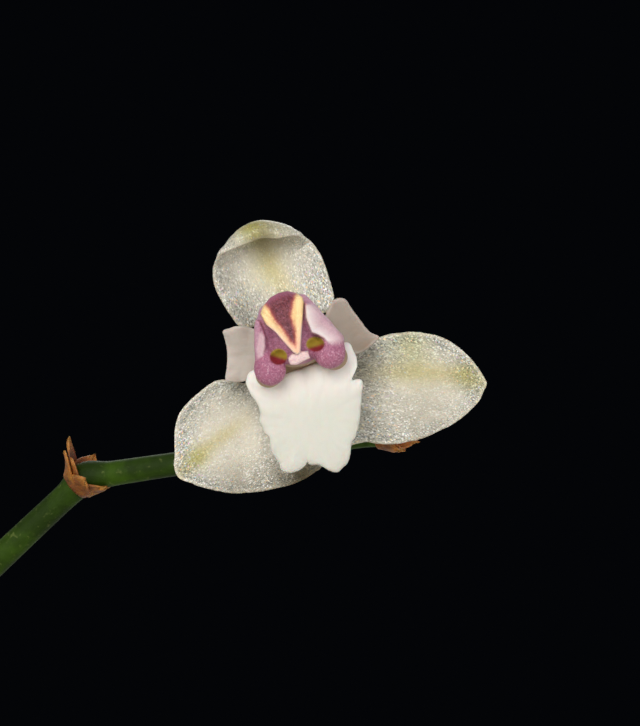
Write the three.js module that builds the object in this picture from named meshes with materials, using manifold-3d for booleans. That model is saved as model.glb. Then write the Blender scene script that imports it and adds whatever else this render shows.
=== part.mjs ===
// A potted Sirhookera lanceolata, a small tufted orchid, in bloom.
// Millimetres, +Z up. The origin is the middle of the pot's flat base.
// A clay pot holds coarse bark. A creeping rhizome with roots lies on the bark and carries
// leafy stems, and two of these bear a jointed flower stem with bract clusters and white blooms.

import * as THREE from "three";
import { mergeVertices } from "three/addons/utils/BufferGeometryUtils.js";
import Module from "manifold-3d";

const wasm = await Module();
wasm.setup();

// Driving dimensions
const gap = 0.3; // clearance between neighbouring solids
const bladeThickness = 0.6;
const pot = { height: 62, rimRadius: 34, rimHeight: 14, baseRadius: 22, wall: 3.6, floor: 4.6 };
const barkTop = 53; // level of the bark between its chips
const rhizomeLevel = 57; // axis of the creeping rhizome
const photoUnit = 0.03; // one pixel of the photograph, at the flower
const bloomPixel = [300, 345]; // the photograph's pixel at the front bloom's origin
const frontBloom = [50, -18, 142]; // where that origin is
const random = seededRandom(20);

const colours = {
  clay: new THREE.MeshStandardMaterial({ color: 0xb4674a, roughness: 0.9 }),
  bark: new THREE.MeshStandardMaterial({ color: 0x5c3a26, roughness: 0.95 }),
  root: new THREE.MeshStandardMaterial({ color: 0xb9b5a0, roughness: 0.8 }),
  leaf: new THREE.MeshStandardMaterial({ color: 0x35582a, roughness: 0.45 }),
  flowerStem: new THREE.MeshStandardMaterial({ color: 0x4f7032, roughness: 0.5 }),
  sepal: new THREE.MeshStandardMaterial({ color: 0xcfc9b8, roughness: 0.5 }),
  petal: new THREE.MeshStandardMaterial({ color: 0xc4b5a6, roughness: 0.55 }),
  lip: new THREE.MeshStandardMaterial({ color: 0xebe8df, roughness: 0.5 }),
  column: new THREE.MeshStandardMaterial({ color: 0xa8688a, roughness: 0.5 }),
};

const plant = new THREE.Group();

function seededRandom(seed) {
  let state = seed >>> 0;
  return () => {
    state = (state + 0x6d2b79f5) >>> 0;
    let t = Math.imul(state ^ (state >>> 15), 1 | state);
    t = (t + Math.imul(t ^ (t >>> 7), 61 | t)) ^ t;
    return ((t ^ (t >>> 14)) >>> 0) / 4294967296;
  };
}

const between = (low, high) => low + (high - low) * random();
const vector = (p) => new THREE.Vector3(...p);
const radians = THREE.MathUtils.degToRad;

// Solids: a closed geometry becomes a manifold, and a finished manifold becomes a mesh
function solid(geometry, matrix) {
  const bare = geometry.index ? geometry.toNonIndexed() : geometry.clone();
  bare.deleteAttribute("normal");
  bare.deleteAttribute("uv");
  if (matrix) bare.applyMatrix4(matrix);
  const merged = mergeVertices(bare, 1e-4);
  return new wasm.Manifold(
    new wasm.Mesh({
      numProp: 3,
      vertProperties: new Float32Array(merged.attributes.position.array),
      triVerts: new Uint32Array(merged.index.array),
    }),
  );
}

function fused(solids) {
  return solids.reduce((joined, next) => joined.add(next));
}

function largestBody(joined) {
  return joined.decompose().sort((a, b) => b.volume() - a.volume())[0];
}

function addNode(name, joined, material) {
  const { vertProperties, triVerts } = largestBody(joined).getMesh();
  const geometry = new THREE.BufferGeometry();
  geometry.setAttribute("position", new THREE.BufferAttribute(vertProperties, 3));
  geometry.setIndex(new THREE.BufferAttribute(triVerts, 1));
  geometry.computeVertexNormals();
  const mesh = new THREE.Mesh(geometry, material);
  mesh.name = name;
  plant.add(mesh);
  return mesh;
}

function geometryFrom(points, triangles) {
  const geometry = new THREE.BufferGeometry();
  geometry.setAttribute("position", new THREE.Float32BufferAttribute(points.flat(), 3));
  geometry.setIndex(triangles);
  return geometry;
}

// A closed tube along a smooth curve through points; radiusAt(share of the length) gives its radius
function tube(points, radiusAt, rings, sides) {
  const curve = new THREE.CatmullRomCurve3(points.map(vector), false, "centripetal");
  const frames = curve.computeFrenetFrames(rings, false);
  const vertices = [];
  const triangles = [];
  for (let i = 0; i <= rings; i++) {
    const centre = curve.getPointAt(i / rings);
    const radius = radiusAt(i / rings);
    for (let k = 0; k < sides; k++) {
      const turn = (2 * Math.PI * k) / sides;
      const p = centre
        .clone()
        .addScaledVector(frames.normals[i], Math.cos(turn) * radius)
        .addScaledVector(frames.binormals[i], Math.sin(turn) * radius);
      vertices.push(p.toArray());
    }
  }
  const at = (i, k) => i * sides + (k % sides);
  for (let i = 0; i < rings; i++) {
    for (let k = 0; k < sides; k++) {
      triangles.push(at(i, k), at(i, k + 1), at(i + 1, k + 1));
      triangles.push(at(i, k), at(i + 1, k + 1), at(i + 1, k));
    }
  }
  const ends = [curve.getPointAt(0).toArray(), curve.getPointAt(1).toArray()];
  const [foot, head] = [vertices.length, vertices.length + 1];
  vertices.push(...ends);
  for (let k = 0; k < sides; k++) {
    triangles.push(foot, at(0, k + 1), at(0, k));
    triangles.push(head, at(rings, k), at(rings, k + 1));
  }
  return facingOut(geometryFrom(vertices, triangles));
}

// Turns a closed geometry's faces round if they point inwards
function facingOut(geometry) {
  const p = geometry.attributes.position;
  const index = geometry.index.array;
  const [a, b, c] = [new THREE.Vector3(), new THREE.Vector3(), new THREE.Vector3()];
  let sixVolumes = 0;
  for (let i = 0; i < index.length; i += 3) {
    a.fromBufferAttribute(p, index[i]);
    b.fromBufferAttribute(p, index[i + 1]);
    c.fromBufferAttribute(p, index[i + 2]);
    sixVolumes += a.dot(b.cross(c));
  }
  if (sixVolumes < 0) {
    for (let i = 0; i < index.length; i += 3) {
      [index[i + 1], index[i + 2]] = [index[i + 2], index[i + 1]];
    }
  }
  return geometry;
}

// A closed blade from a sheet of points: the sheet is moved half its thickness to each side
function thickSheet(sheet, triangles, thickness) {
  const middle = geometryFrom(sheet, triangles);
  middle.computeVertexNormals();
  const normals = middle.attributes.normal;
  const offset = (side) =>
    sheet.map((p, i) => [
      p[0] + (side * thickness * normals.getX(i)) / 2,
      p[1] + (side * thickness * normals.getY(i)) / 2,
      p[2] + (side * thickness * normals.getZ(i)) / 2,
    ]);
  const count = sheet.length;
  const closed = [...triangles];
  const edges = new Map();
  for (let i = 0; i < triangles.length; i += 3) {
    const [a, b, c] = triangles.slice(i, i + 3);
    closed.push(a + count, c + count, b + count);
    for (const [from, to] of [[a, b], [b, c], [c, a]]) {
      edges.set(`${from},${to}`, [from, to]);
    }
  }
  for (const [a, b] of edges.values()) {
    if (!edges.has(`${b},${a}`)) closed.push(b, a, a + count, b, a + count, b + count);
  }
  return facingOut(geometryFrom([...offset(1), ...offset(-1)], closed));
}

// Clay pot, lathed, with drain holes round the middle of its floor
const potInner = (z) => {
  const share = (z - pot.floor) / (pot.height - pot.floor);
  return THREE.MathUtils.lerp(pot.baseRadius - pot.wall, pot.rimRadius - pot.wall, share);
};

function lathed(profile, segments) {
  const points = profile.map(([r, z]) => new THREE.Vector2(r, z));
  const upright = new THREE.Matrix4().makeRotationX(Math.PI / 2);
  return solid(facingOut(closedLathe(points, segments)), upright);
}

function closedLathe(points, segments) {
  const lathe = new THREE.LatheGeometry(points, segments);
  lathe.deleteAttribute("normal");
  lathe.deleteAttribute("uv");
  return mergeVertices(lathe, 1e-4);
}

function makePot() {
  const shoulder = pot.height - pot.rimHeight;
  const shoulderRadius = pot.rimRadius - 3;
  const body = lathed(
    [
      [0, 0],
      [pot.baseRadius - 1, 0],
      [pot.baseRadius, 1],
      [shoulderRadius - 0.6, shoulder - 0.8],
      [pot.rimRadius - 1.4, shoulder],
      [pot.rimRadius - 0.5, shoulder + 1],
      [pot.rimRadius, pot.height - 1.4],
      [pot.rimRadius - 0.8, pot.height],
      [pot.rimRadius - pot.wall + 0.9, pot.height],
      [potInner(pot.height - 1.2), pot.height - 1.2],
      [potInner(pot.floor), pot.floor],
      [0, pot.floor],
    ],
    36,
  );
  const holeCount = 5;
  const holes = [];
  for (let i = 0; i < holeCount; i++) {
    const turn = (2 * Math.PI * (i + 0.5)) / holeCount;
    const place = new THREE.Matrix4()
      .makeTranslation(11 * Math.cos(turn), 11 * Math.sin(turn), pot.floor / 2)
      .multiply(new THREE.Matrix4().makeRotationX(Math.PI / 2));
    holes.push(solid(new THREE.CylinderGeometry(2.6, 2.6, pot.floor + 4, 12), place));
  }
  addNode("pot", holes.reduce((left, hole) => left.subtract(hole), body), colours.clay);
}

// Rhizome and roots: the creeping stem in four branches, with roots that run over the bark and dive into it
const rhizomeBranches = [
  [[-16, 3, 57], [-8, 0, 57.4], [-1, -2, 57], [6, -1, 57.4], [14, 1, 57]],
  [[-1, -2, 57], [1, 5, 57.3], [2, 12.5, 56.8]],
  [[-8, 0, 57.3], [-9, -5, 57.3], [-8, -10, 56.8]],
  [[6, -1, 57.3], [8, -5, 57.3], [9, -10.5, 56.8]],
];
const roots = [
  [[-15, 3, 57], [-19, 7, 58.2], [-21.5, 11, 56.6], [-22.2, 12, 50]],
  [[-16, 2, 57], [-20, -1, 57.9], [-24, -5, 56], [-24.6, -6, 50]],
  [[-8, -9, 57], [-11, -15, 58], [-11.5, -20.5, 56.8], [-11.4, -22.4, 50]],
  [[9, -10, 57], [12, -14, 58.2], [16, -17.5, 57], [17.6, -18, 50]],
  [[14, 1, 57], [19, -2, 58.2], [23, -4, 56.8], [24.6, -4, 50]],
  [[13, 1, 57], [15, 7, 58.2], [18.6, 12, 57], [19.8, 14.6, 50]],
  [[2, 12, 57], [6, 17, 58], [8.6, 22, 56.4], [8.8, 23.6, 50]],
  [[2, 12, 57], [-4, 17, 58.2], [-8, 21.5, 56.8], [-9, 23, 50]],
  [[0, -2, 57], [2, -11, 58.2], [3, -19, 57.4], [4, -24, 50]],
];
const rhizomeRadius = 1.9;
const rootRadius = 0.95;

function rhizomeSolids(grown) {
  const ringed = (s) => rhizomeRadius + 0.25 * Math.cos(2 * Math.PI * s * 4) + grown;
  const rooting = (s) => rootRadius * (1 - 0.25 * s) + grown;
  return [
    ...rhizomeBranches.map((branch) => solid(tube(branch, ringed, 6, 7))),
    ...roots.map((root) => solid(tube(root, rooting, 6, 5))),
  ];
}

// Leafy stems: each has its foot on the rhizome, a heading and tilt, the stem's length, then the leaf's
// length and width, and how far the leaf arches over
const shoots = [
  { foot: [-15, 3], heading: 172, tilt: 30, stem: 25, leaf: 62, width: 12, arch: 30 },
  { foot: [-8, -9.5], heading: 236, tilt: 31, stem: 27, leaf: 66, width: 12.6, arch: 34 },
  { foot: [-7, 0.5], heading: 142, tilt: 15, stem: 37, leaf: 72, width: 13, arch: 18 },
  { foot: [-1.5, -2.5], heading: 250, tilt: 8, stem: 42, leaf: 70, width: 13.4, arch: 14 },
  { foot: [1, 5.5], heading: 84, tilt: 16, stem: 38, leaf: 73, width: 12.4, arch: 20 },
  { foot: [9, -9.5], heading: 306, tilt: 33, stem: 26, leaf: 60, width: 12.2, arch: 36 },
  { foot: [6, -1], heading: 8, tilt: 17, stem: 38, leaf: 54, width: 11.4, arch: 30, leafHeading: 72 },
  { foot: [14, 1], heading: 350, tilt: 46, stem: 22, leaf: 56, width: 11, arch: 34 },
  { foot: [2, 12], heading: 112, tilt: 38, stem: 23, leaf: 58, width: 11.6, arch: 36 },
];
const stemRadius = 1.15;
const sheathCount = 4;

function shootFrame({ foot, heading, tilt }) {
  const outward = vector([Math.cos(radians(heading)), Math.sin(radians(heading)), 0]);
  const up = vector([0, 0, 1]);
  const along = up.clone().multiplyScalar(Math.cos(radians(tilt)));
  along.addScaledVector(outward, Math.sin(radians(tilt)));
  return { start: vector([...foot, rhizomeLevel]), outward, up, along };
}

function stemPoints(shoot) {
  const { start, outward, along } = shootFrame(shoot);
  return [0, 1 / 3, 2 / 3, 1].map((s) => {
    const p = start.clone().addScaledVector(along, shoot.stem * s);
    return p.addScaledVector(outward, 1.6 * Math.sin(Math.PI * s)).toArray();
  });
}

// Overlapping papery sheaths: the stem swells under the mouth of each and steps back above it
function sheathedRadius(s) {
  const phase = (s * sheathCount) % 1;
  const sheathed = s < 0.98 ? 0.25 + 0.5 * phase : 0;
  return stemRadius + sheathed;
}

// The leaf: a folded lance-shaped blade that leaves the stem's top and arches outward
function leafBlade(shoot) {
  const { outward, up } = shootFrame({ ...shoot, heading: shoot.leafHeading ?? shoot.heading });
  const side = new THREE.Vector3().crossVectors(up, outward).normalize();
  const top = vector(stemPoints(shoot).at(-1));
  const [steps, halves] = [9, 1];
  const sheet = [];
  const triangles = [];
  let point = top.clone();
  for (let i = 0; i <= steps; i++) {
    const s = i / steps;
    const lean = radians(shoot.tilt + shoot.arch * s * s);
    const along = up.clone().multiplyScalar(Math.cos(lean)).addScaledVector(outward, Math.sin(lean));
    const upper = up.clone().multiplyScalar(Math.sin(lean)).addScaledVector(outward, -Math.cos(lean));
    if (i > 0) point = point.clone().addScaledVector(along, shoot.leaf / steps);
    const lance = Math.pow(Math.sin(Math.PI * Math.pow(s, 0.72)), 0.9);
    const half = Math.max(0.75, (shoot.width / 2) * lance + 0.9 * (1 - s));
    const fold = radians(THREE.MathUtils.lerp(48, 14, Math.min(1, s * 2.2)));
    for (let j = -halves; j <= halves; j++) {
      const t = j / halves;
      const p = point.clone().addScaledVector(side, half * t * Math.cos(fold));
      p.addScaledVector(upper, half * Math.abs(t) * Math.sin(fold));
      sheet.push(p.toArray());
    }
  }
  const row = 2 * halves + 1;
  for (let i = 0; i < steps; i++) {
    for (let j = 0; j < row - 1; j++) {
      const a = i * row + j;
      triangles.push(a, a + 1, a + row + 1, a, a + row + 1, a + row);
    }
  }
  return solid(thickSheet(sheet, triangles, 1.0));
}

function makeShoots(rhizomeClear) {
  shoots.forEach((shoot, i) => {
    const stem = solid(tube(stemPoints(shoot), sheathedRadius, 12, 6)).subtract(rhizomeClear);
    const whole = fused([largestBody(stem), leafBlade(shoot)]);
    addNode(`leafy_stem_${i + 1}`, whole, colours.leaf);
  });
}

// Bark: a filling that stops just inside the pot, with coarse chips standing out of its top
function makeBark(rhizomeClear, stemsClear) {
  const inset = gap + 0.1;
  const filling = lathed(
    [
      [0, pot.floor + gap],
      [potInner(pot.floor) - inset, pot.floor + gap],
      [potInner(barkTop) - inset, barkTop],
      [0, barkTop],
    ],
    28,
  );
  const chips = [];
  const ringSizes = [2, 6, 9, 13];
  ringSizes.forEach((count, ring) => {
    for (let i = 0; i < count; i++) {
      const radius = 4 + 6 * ring + between(-1.2, 1.2);
      const turn = (2 * Math.PI * (i + between(0, 0.6))) / count;
      const size = [between(5, 9), between(3.6, 6), between(2.2, 3.6)];
      const place = new THREE.Matrix4().makeRotationFromEuler(
        new THREE.Euler(between(-0.35, 0.35), between(-0.35, 0.35), between(0, 2 * Math.PI)),
      );
      const reach = Math.min(radius, potInner(barkTop) - 5.4);
      place.setPosition(reach * Math.cos(turn), reach * Math.sin(turn), barkTop + between(-0.2, 1.3));
      chips.push(solid(new THREE.BoxGeometry(...size), place));
    }
  });
  const whole = chips.reduce((joined, chip) => joined.add(chip), filling);
  addNode("bark_filling", whole.subtract(rhizomeClear).subtract(stemsClear), colours.bark);
}

// Flower stems: a zigzag axis of joints, short branches, bract clusters, buds, and the ovary of each bloom
function bractCluster(centre, size) {
  const firstTurn = between(0, Math.PI);
  const cones = [firstTurn, firstTurn + Math.PI].map((turn) => {
    const place = new THREE.Matrix4()
      .makeTranslation(...centre)
      .multiply(turnTo([Math.cos(turn), Math.sin(turn), 0.9]))
      .multiply(new THREE.Matrix4().makeTranslation(0, 0.75 * size, 0));
    return solid(new THREE.ConeGeometry(0.62 * size, 2.3 * size, 4), place);
  });
  return fused(cones);
}

// The turn that lays a cone's or a sphere's long axis along a direction
function turnTo(direction) {
  const turn = new THREE.Quaternion().setFromUnitVectors(vector([0, 1, 0]), vector(direction).normalize());
  return new THREE.Matrix4().makeRotationFromQuaternion(turn);
}

function bud(foot, direction, length) {
  const place = new THREE.Matrix4()
    .makeTranslation(...foot)
    .multiply(turnTo(direction))
    .multiply(new THREE.Matrix4().makeTranslation(0, length * 0.55, 0))
    .multiply(new THREE.Matrix4().makeScale(0.32 * length, 0.6 * length, 0.32 * length));
  return solid(new THREE.SphereGeometry(1, 6, 4), place);
}

// Each bloom's own frame: right, up, and towards whoever looks at its face
function bloomFrame({ origin, facing, roll }) {
  const towards = vector([
    Math.cos(radians(facing[1])) * Math.cos(radians(facing[0])),
    Math.cos(radians(facing[1])) * Math.sin(radians(facing[0])),
    Math.sin(radians(facing[1])),
  ]);
  const right = new THREE.Vector3().crossVectors(vector([0, 0, 1]), towards).normalize();
  const up = new THREE.Vector3().crossVectors(towards, right).normalize();
  const turned = new THREE.Matrix4().makeBasis(right, up, towards);
  turned.multiply(new THREE.Matrix4().makeRotationZ(radians(roll)));
  return turned.setPosition(...origin);
}

const blooms = [
  { name: "front_bloom", origin: frontBloom, facing: [-90, 0], roll: 0, size: 1 },
  { name: "bloom_2", origin: [29, -13, 143], facing: [-118, 12], roll: 8, size: 0.94 },
  { name: "bloom_3", origin: [41, -20, 113], facing: [-72, -4], roll: -14, size: 0.97 },
  { name: "bloom_4", origin: [-27, -30, 138], facing: [-112, 6], roll: 10, size: 0.96 },
  { name: "bloom_5", origin: [-13, -33, 121], facing: [-84, 4], roll: -8, size: 0.92 },
];

const neckFront = 0.2; // how far the ovary's neck reaches between the petals
const neckRadius = 0.42;

function inBloom(bloom, point) {
  return vector(point).multiplyScalar(bloom.size).applyMatrix4(bloomFrame(bloom));
}

// The ovary and its stalk, from the neck between the petals back to the bract cluster that bears it
function ovary(bloom, cluster) {
  const foot = vector(cluster);
  const path = [
    inBloom(bloom, [0, 0.1, neckFront]),
    inBloom(bloom, [0, 0.1, -1.6]),
    inBloom(bloom, [0, 0.1, -3.2]).lerp(foot, 0.35),
    foot,
  ].map((p) => p.toArray());
  const swelling = (s) => Math.sin(Math.PI * THREE.MathUtils.clamp((s - 0.2) / 0.62, 0, 1));
  return solid(tube(path, (s) => neckRadius + 0.4 * swelling(s), 6, 6));
}

const flowerStems = [
  {
    name: "flower_stem_1",
    axis: [[17.2, -1.6, 91.8], [19.6, -3.6, 99], [24.4, -3.4, 108.6], [28.6, -6.2, 117.8],
      [33.4, -6.6, 124.6], [36.4, -8, 131.4], [43.3, -10.5, 137.9], [52.7, -13.5, 138.8]],
    branches: [
      { from: 5, to: [31.4, -8.2, 138.4] },
      { from: 3, to: [38.6, -11, 113.4] },
      { from: 2, to: [20.6, -6.8, 115.6] },
    ],
    blooms: [
      { bloom: 0, cluster: [52.7, -13.5, 138.8] },
      { bloom: 1, cluster: [31.4, -8.2, 138.4] },
      { bloom: 2, cluster: [38.6, -11, 113.4] },
    ],
    clusters: [[43.3, -10.5, 137.9], [36.4, -8, 131.4], [20.6, -6.8, 115.6]],
    buds: [
      { foot: [20.6, -6.8, 116.2], direction: [-0.5, -0.5, 1], length: 4.2 },
      { foot: [20.4, -7.2, 115.8], direction: [-1, -0.4, 0.4], length: 3.2 },
      { foot: [31.4, -8, 138.8], direction: [0.1, 0.6, 1], length: 3.2 },
      { foot: [38.8, -10.8, 113.8], direction: [0.9, 0.5, 0.5], length: 3.4 },
    ],
  },
  {
    name: "flower_stem_2",
    axis: [[-4.2, -9, 97.6], [-6.4, -14.4, 104.6], [-9.6, -18.6, 112.2], [-15.8, -21.6, 118.2],
      [-19.6, -24, 126.8], [-25.6, -25.4, 133.4]],
    branches: [
      { from: 2, to: [-11.4, -25.4, 117.4] },
      { from: 4, to: [-16.8, -26.6, 133.2] },
    ],
    blooms: [
      { bloom: 3, cluster: [-25.6, -25.4, 133.4] },
      { bloom: 4, cluster: [-11.4, -25.4, 117.4] },
    ],
    clusters: [[-15.8, -21.6, 118.2], [-19.6, -24, 126.8], [-16.8, -26.6, 133.2]],
    buds: [
      { foot: [-16.8, -26.6, 133.6], direction: [0.2, -0.4, 1], length: 4.4 },
      { foot: [-16.4, -26.8, 133.4], direction: [0.9, -0.6, 0.6], length: 3.4 },
      { foot: [-25.8, -25.2, 133.8], direction: [-0.8, 0.5, 0.9], length: 3.4 },
    ],
  },
];

function makeFlowerStems(shootsClear) {
  for (const { name, axis, branches, blooms: borne, clusters, buds } of flowerStems) {
    const solids = [];
    const taper = (s) => THREE.MathUtils.lerp(0.9, 0.45, s);
    solids.push(solid(tube(axis, taper, 2 * axis.length, 6)));
    for (const { from, to } of branches) {
      solids.push(solid(tube([axis[from], to], () => 0.45, 1, 5)));
    }
    for (const { bloom, cluster } of borne) {
      solids.push(ovary(blooms[bloom], cluster));
      solids.push(bractCluster(cluster, 0.85));
    }
    clusters.forEach((cluster) => solids.push(bractCluster(cluster, 0.8)));
    buds.forEach(({ foot, direction, length }) => solids.push(bud(foot, direction, length)));
    addNode(name, fused(solids).subtract(shootsClear), colours.flowerStem);
  }
}

// Blooms: every blade is an outline seen from the front, read in photograph pixels, round a middle point.
// rise gives its depth towards the viewer: level at the bloom's middle, slope along the blade, and bowl.
// curl turns the margin forward round the heading given, with a bend of that radius.
const blades = {
  dorsal_sepal: {
    outline: [[334, 298], [329, 277], [318, 250], [300, 233], [275, 221.5], [250, 222.5], [231, 236],
      [217, 257], [212, 274], [217, 293], [230, 315], [247, 328], [264, 321], [282, 314], [304, 312],
      [326, 313]],
    middle: [275, 275], rise: [-0.95, -0.02, 0.35],
    curl: { heading: 112, spread: 62, radius: 0.5, turn: 140 }, kind: "sepal",
  },
  lateral_sepal_left: {
    outline: [[228, 380], [210, 384], [190, 400], [178, 417], [173.5, 440], [175, 472], [200, 487],
      [230, 493.5], [265, 491], [295, 484], [320, 469], [323, 456], [311, 414], [300, 380], [285, 366],
      [262, 371], [246, 380]],
    middle: [246, 432], rise: [-0.95, 0.02, 0.3],
    curl: { heading: 214, spread: 150, radius: 0.6, turn: 34 }, kind: "sepal",
  },
  lateral_sepal_right: {
    outline: [[345, 340], [379, 337], [413, 331.5], [440, 335.5], [462, 349], [478, 367], [487, 384],
      [480, 400], [460, 420], [425, 438], [395, 444.5], [360, 441], [335, 452], [330, 438], [321, 408],
      [311, 378], [326, 352]],
    middle: [398, 388], rise: [-0.95, 0.03, 0.3],
    curl: { heading: 0, spread: 150, radius: 0.6, turn: 30 }, kind: "sepal",
  },
  petal_left: {
    outline: [[255, 329], [238, 326.5], [223, 331], [227, 355], [226, 380], [245, 381], [264, 372],
      [271, 356], [270, 336]],
    middle: [248, 355], rise: [0, -0.05, 0.1], kind: "petal",
  },
  petal_right: {
    outline: [[334, 300], [346, 300], [358, 317], [370, 331], [379, 338], [366, 350], [345, 356],
      [329, 350], [323, 330], [327, 313]],
    middle: [348, 330], rise: [0, -0.05, 0.1], kind: "petal",
  },
  lip: {
    outline: [[254, 369.5], [246.5, 380], [250, 392], [259, 407], [259.5, 420], [269, 437], [271, 451],
      [279, 463], [285, 471.5], [298, 470.5], [307, 462], [319, 464.5], [330, 470.5], [344, 466],
      [350.5, 452], [356, 434], [360.5, 410], [363, 384], [352, 379], [357, 363], [350, 344], [338, 342],
      [320, 358], [300, 364], [276, 370]],
    middle: [307, 412], rise: [1.15, 0, -0.16], kind: "lip",
  },
};

function toBloom([x, y]) {
  return [(x - bloomPixel[0]) * photoUnit, (bloomPixel[1] - y) * photoUnit];
}

function bladeSheet({ outline, middle, rise, curl }, spokes, rings) {
  const flat = outline.map((p) => new THREE.Vector3(...toBloom(p), 0));
  const edge = new THREE.CatmullRomCurve3(flat, true, "centripetal");
  const centre = new THREE.Vector3(...toBloom(middle), 0);
  const bloomMiddle = new THREE.Vector3(0, 0.1, 0);
  const reach = centre.distanceTo(bloomMiddle);
  const axis = centre.clone().sub(bloomMiddle).normalize();
  const sheet = [];
  const depthAt = (x, y, share) => {
    const along = (x - bloomMiddle.x) * axis.x + (y - bloomMiddle.y) * axis.y;
    return rise[0] + rise[1] * (along - reach) * along + rise[2] * share * share;
  };
  const place = (spoke, share) => {
    const tip = edge.getPoint(spoke / spokes);
    const out = tip.clone().sub(centre);
    const length = out.length();
    out.normalize();
    let [distance, lift] = [share * length, 0];
    if (curl) {
      const off = Math.abs(angleBetween(Math.atan2(out.y, out.x), radians(curl.heading)));
      const fade = Math.cos(Math.min(1, off / radians(curl.spread)) * (Math.PI / 2));
      const turn = radians(curl.turn) * Math.max(0, fade);
      const straight = length - curl.radius * Math.sin(Math.min(turn, Math.PI / 2));
      const bent = share * (straight + curl.radius * turn) - straight;
      distance = Math.min(share * (straight + curl.radius * turn), straight);
      if (bent > 0 && turn > 0) {
        distance += curl.radius * Math.sin(bent / curl.radius);
        lift = curl.radius * (1 - Math.cos(bent / curl.radius));
      }
    }
    const x = centre.x + out.x * distance;
    const y = centre.y + out.y * distance;
    return [x, y, depthAt(x, y, share) + lift];
  };
  sheet.push([centre.x, centre.y, depthAt(centre.x, centre.y, 0)]);
  for (let ring = 1; ring <= rings; ring++) {
    for (let spoke = 0; spoke < spokes; spoke++) {
      sheet.push(place(spoke, ring / rings));
    }
  }
  return sheet;
}

function angleBetween(a, b) {
  return Math.atan2(Math.sin(a - b), Math.cos(a - b));
}

function blade(shape, spokes, rings) {
  const sheet = bladeSheet(shape, spokes, rings);
  const at = (ring, spoke) => (ring === 0 ? 0 : 1 + (ring - 1) * spokes + (spoke % spokes));
  const triangles = [];
  for (let spoke = 0; spoke < spokes; spoke++) {
    triangles.push(0, at(1, spoke), at(1, spoke + 1));
    for (let ring = 1; ring < rings; ring++) {
      triangles.push(at(ring, spoke), at(ring + 1, spoke), at(ring + 1, spoke + 1));
      triangles.push(at(ring, spoke), at(ring + 1, spoke + 1), at(ring, spoke + 1));
    }
  }
  return thickSheet(sheet, triangles, bladeThickness);
}

// The column: a hooded body with two cheek lobes, the anther's two ridges on top, and a tooth below
const columnParts = [
  { at: [291, 322], depth: 1.25, radii: [30, 29, 24], sides: 12 },
  { at: [262, 338], depth: 1.15, radii: [9, 24, 17], sides: 8 },
  { at: [328, 326], depth: 1.2, radii: [13, 18, 16], sides: 8 },
  { at: [271, 367], depth: 2.1, radii: [16, 18, 12], sides: 10 },
  { at: [331, 350], depth: 2.2, radii: [16, 17, 12], sides: 10 },
  { at: [283, 322], depth: 2.05, radii: [20, 25, 11], sides: 8 },
  { at: [300, 357], depth: 1.9, radii: [9, 7, 6], sides: 7 },
];
const ridges = [
  [[266, 313, 2.2], [276, 328, 2.35], [288, 342, 2.45], [298, 354, 2.4]],
  [[298, 303, 2.15], [298, 320, 2.35], [299, 338, 2.45], [299, 354, 2.4]],
];

function columnSolid(detail) {
  const bodies = columnParts.map(({ at, depth, radii, sides }) => {
    const [x, y] = toBloom(at);
    const place = new THREE.Matrix4()
      .makeTranslation(x, y, depth)
      .multiply(new THREE.Matrix4().makeScale(...radii.map((r) => r * photoUnit)));
    const around = Math.max(5, Math.round(sides * detail));
    return solid(new THREE.SphereGeometry(1, around, Math.max(4, Math.round(around * 0.6))), place);
  });
  if (detail < 1) return fused(bodies);
  const bars = ridges.map((ridge) => {
    const path = ridge.map(([x, y, depth]) => [...toBloom([x, y]), depth]);
    return solid(tube(path, (s) => 0.24 - 0.1 * s, 6, 6));
  });
  return fused([...bodies, ...bars]);
}

const bladeColours = { sepal: colours.sepal, petal: colours.petal, lip: colours.lip };

function makeFrontBloom(bloom) {
  const frame = bloomFrame(bloom);
  for (const [part, shape] of Object.entries(blades)) {
    const spokes = shape.kind === "petal" ? 16 : shape.kind === "lip" ? 36 : 24;
    const rings = part === "dorsal_sepal" ? 5 : shape.kind === "petal" ? 2 : 3;
    addNode(`${bloom.name}_${part}`, solid(blade(shape, spokes, rings), frame), bladeColours[shape.kind]);
  }
  addNode(`${bloom.name}_column`, columnSolid(1).transform(frame.elements), colours.column);
}

// The other blooms are the same flower with fewer facets, its white parts joined by a disc at their middle
function makeOtherBloom(bloom) {
  const scale = new THREE.Matrix4().makeScale(bloom.size, bloom.size, bloom.size);
  const frame = bloomFrame(bloom).multiply(scale);
  const white = Object.values(blades).map((shape) => {
    const spokes = shape.kind === "petal" ? 7 : shape.kind === "lip" ? 14 : 10;
    return solid(blade(shape, spokes, shape.curl ? 2 : 1));
  });
  const neckClear = solid(tube([[0, 0.1, -2.4], [0, 0.1, neckFront + gap]], () => neckRadius + gap, 1, 8));
  const joiner = solid(tube([[0, 0.1, -1.1], [0, 0.1, 0.1]], () => 1.5, 1, 10));
  const lipClaw = solid(tube([[0.1, -0.75, -0.6], [0.3, -1.2, 0.5], [0.3, -1.6, 1.15]], () => 0.4, 3, 6));
  const perianth = fused([...white, joiner, lipClaw]).subtract(neckClear);
  const column = columnSolid(0.6);
  const clearOfPerianth = [[0, 0, 0.28], [0, 0, 0], [0, -0.2, 0.2], [0.2, 0.2, 0.2], [-0.2, 0.2, 0.2]];
  const carved = clearOfPerianth.reduce((left, shift) => left.subtract(perianth.translate(shift)), column);
  addNode(`${bloom.name}_petals`, perianth.transform(frame.elements), colours.petal);
  addNode(`${bloom.name}_column`, carved.transform(frame.elements), colours.column);
}

makePot();
const rhizomeClear = fused(rhizomeSolids(gap));
const stemsClear = fused(shoots.map((shoot) => solid(tube(stemPoints(shoot), () => 2.2, 3, 8))));
addNode("rhizome_and_roots", fused(rhizomeSolids(0)), colours.root);
makeBark(rhizomeClear, stemsClear);
makeShoots(rhizomeClear);
makeFlowerStems(stemsClear);
makeFrontBloom(blooms[0]);
blooms.slice(1).forEach(makeOtherBloom);

export default plant;
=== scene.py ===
import math

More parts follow.
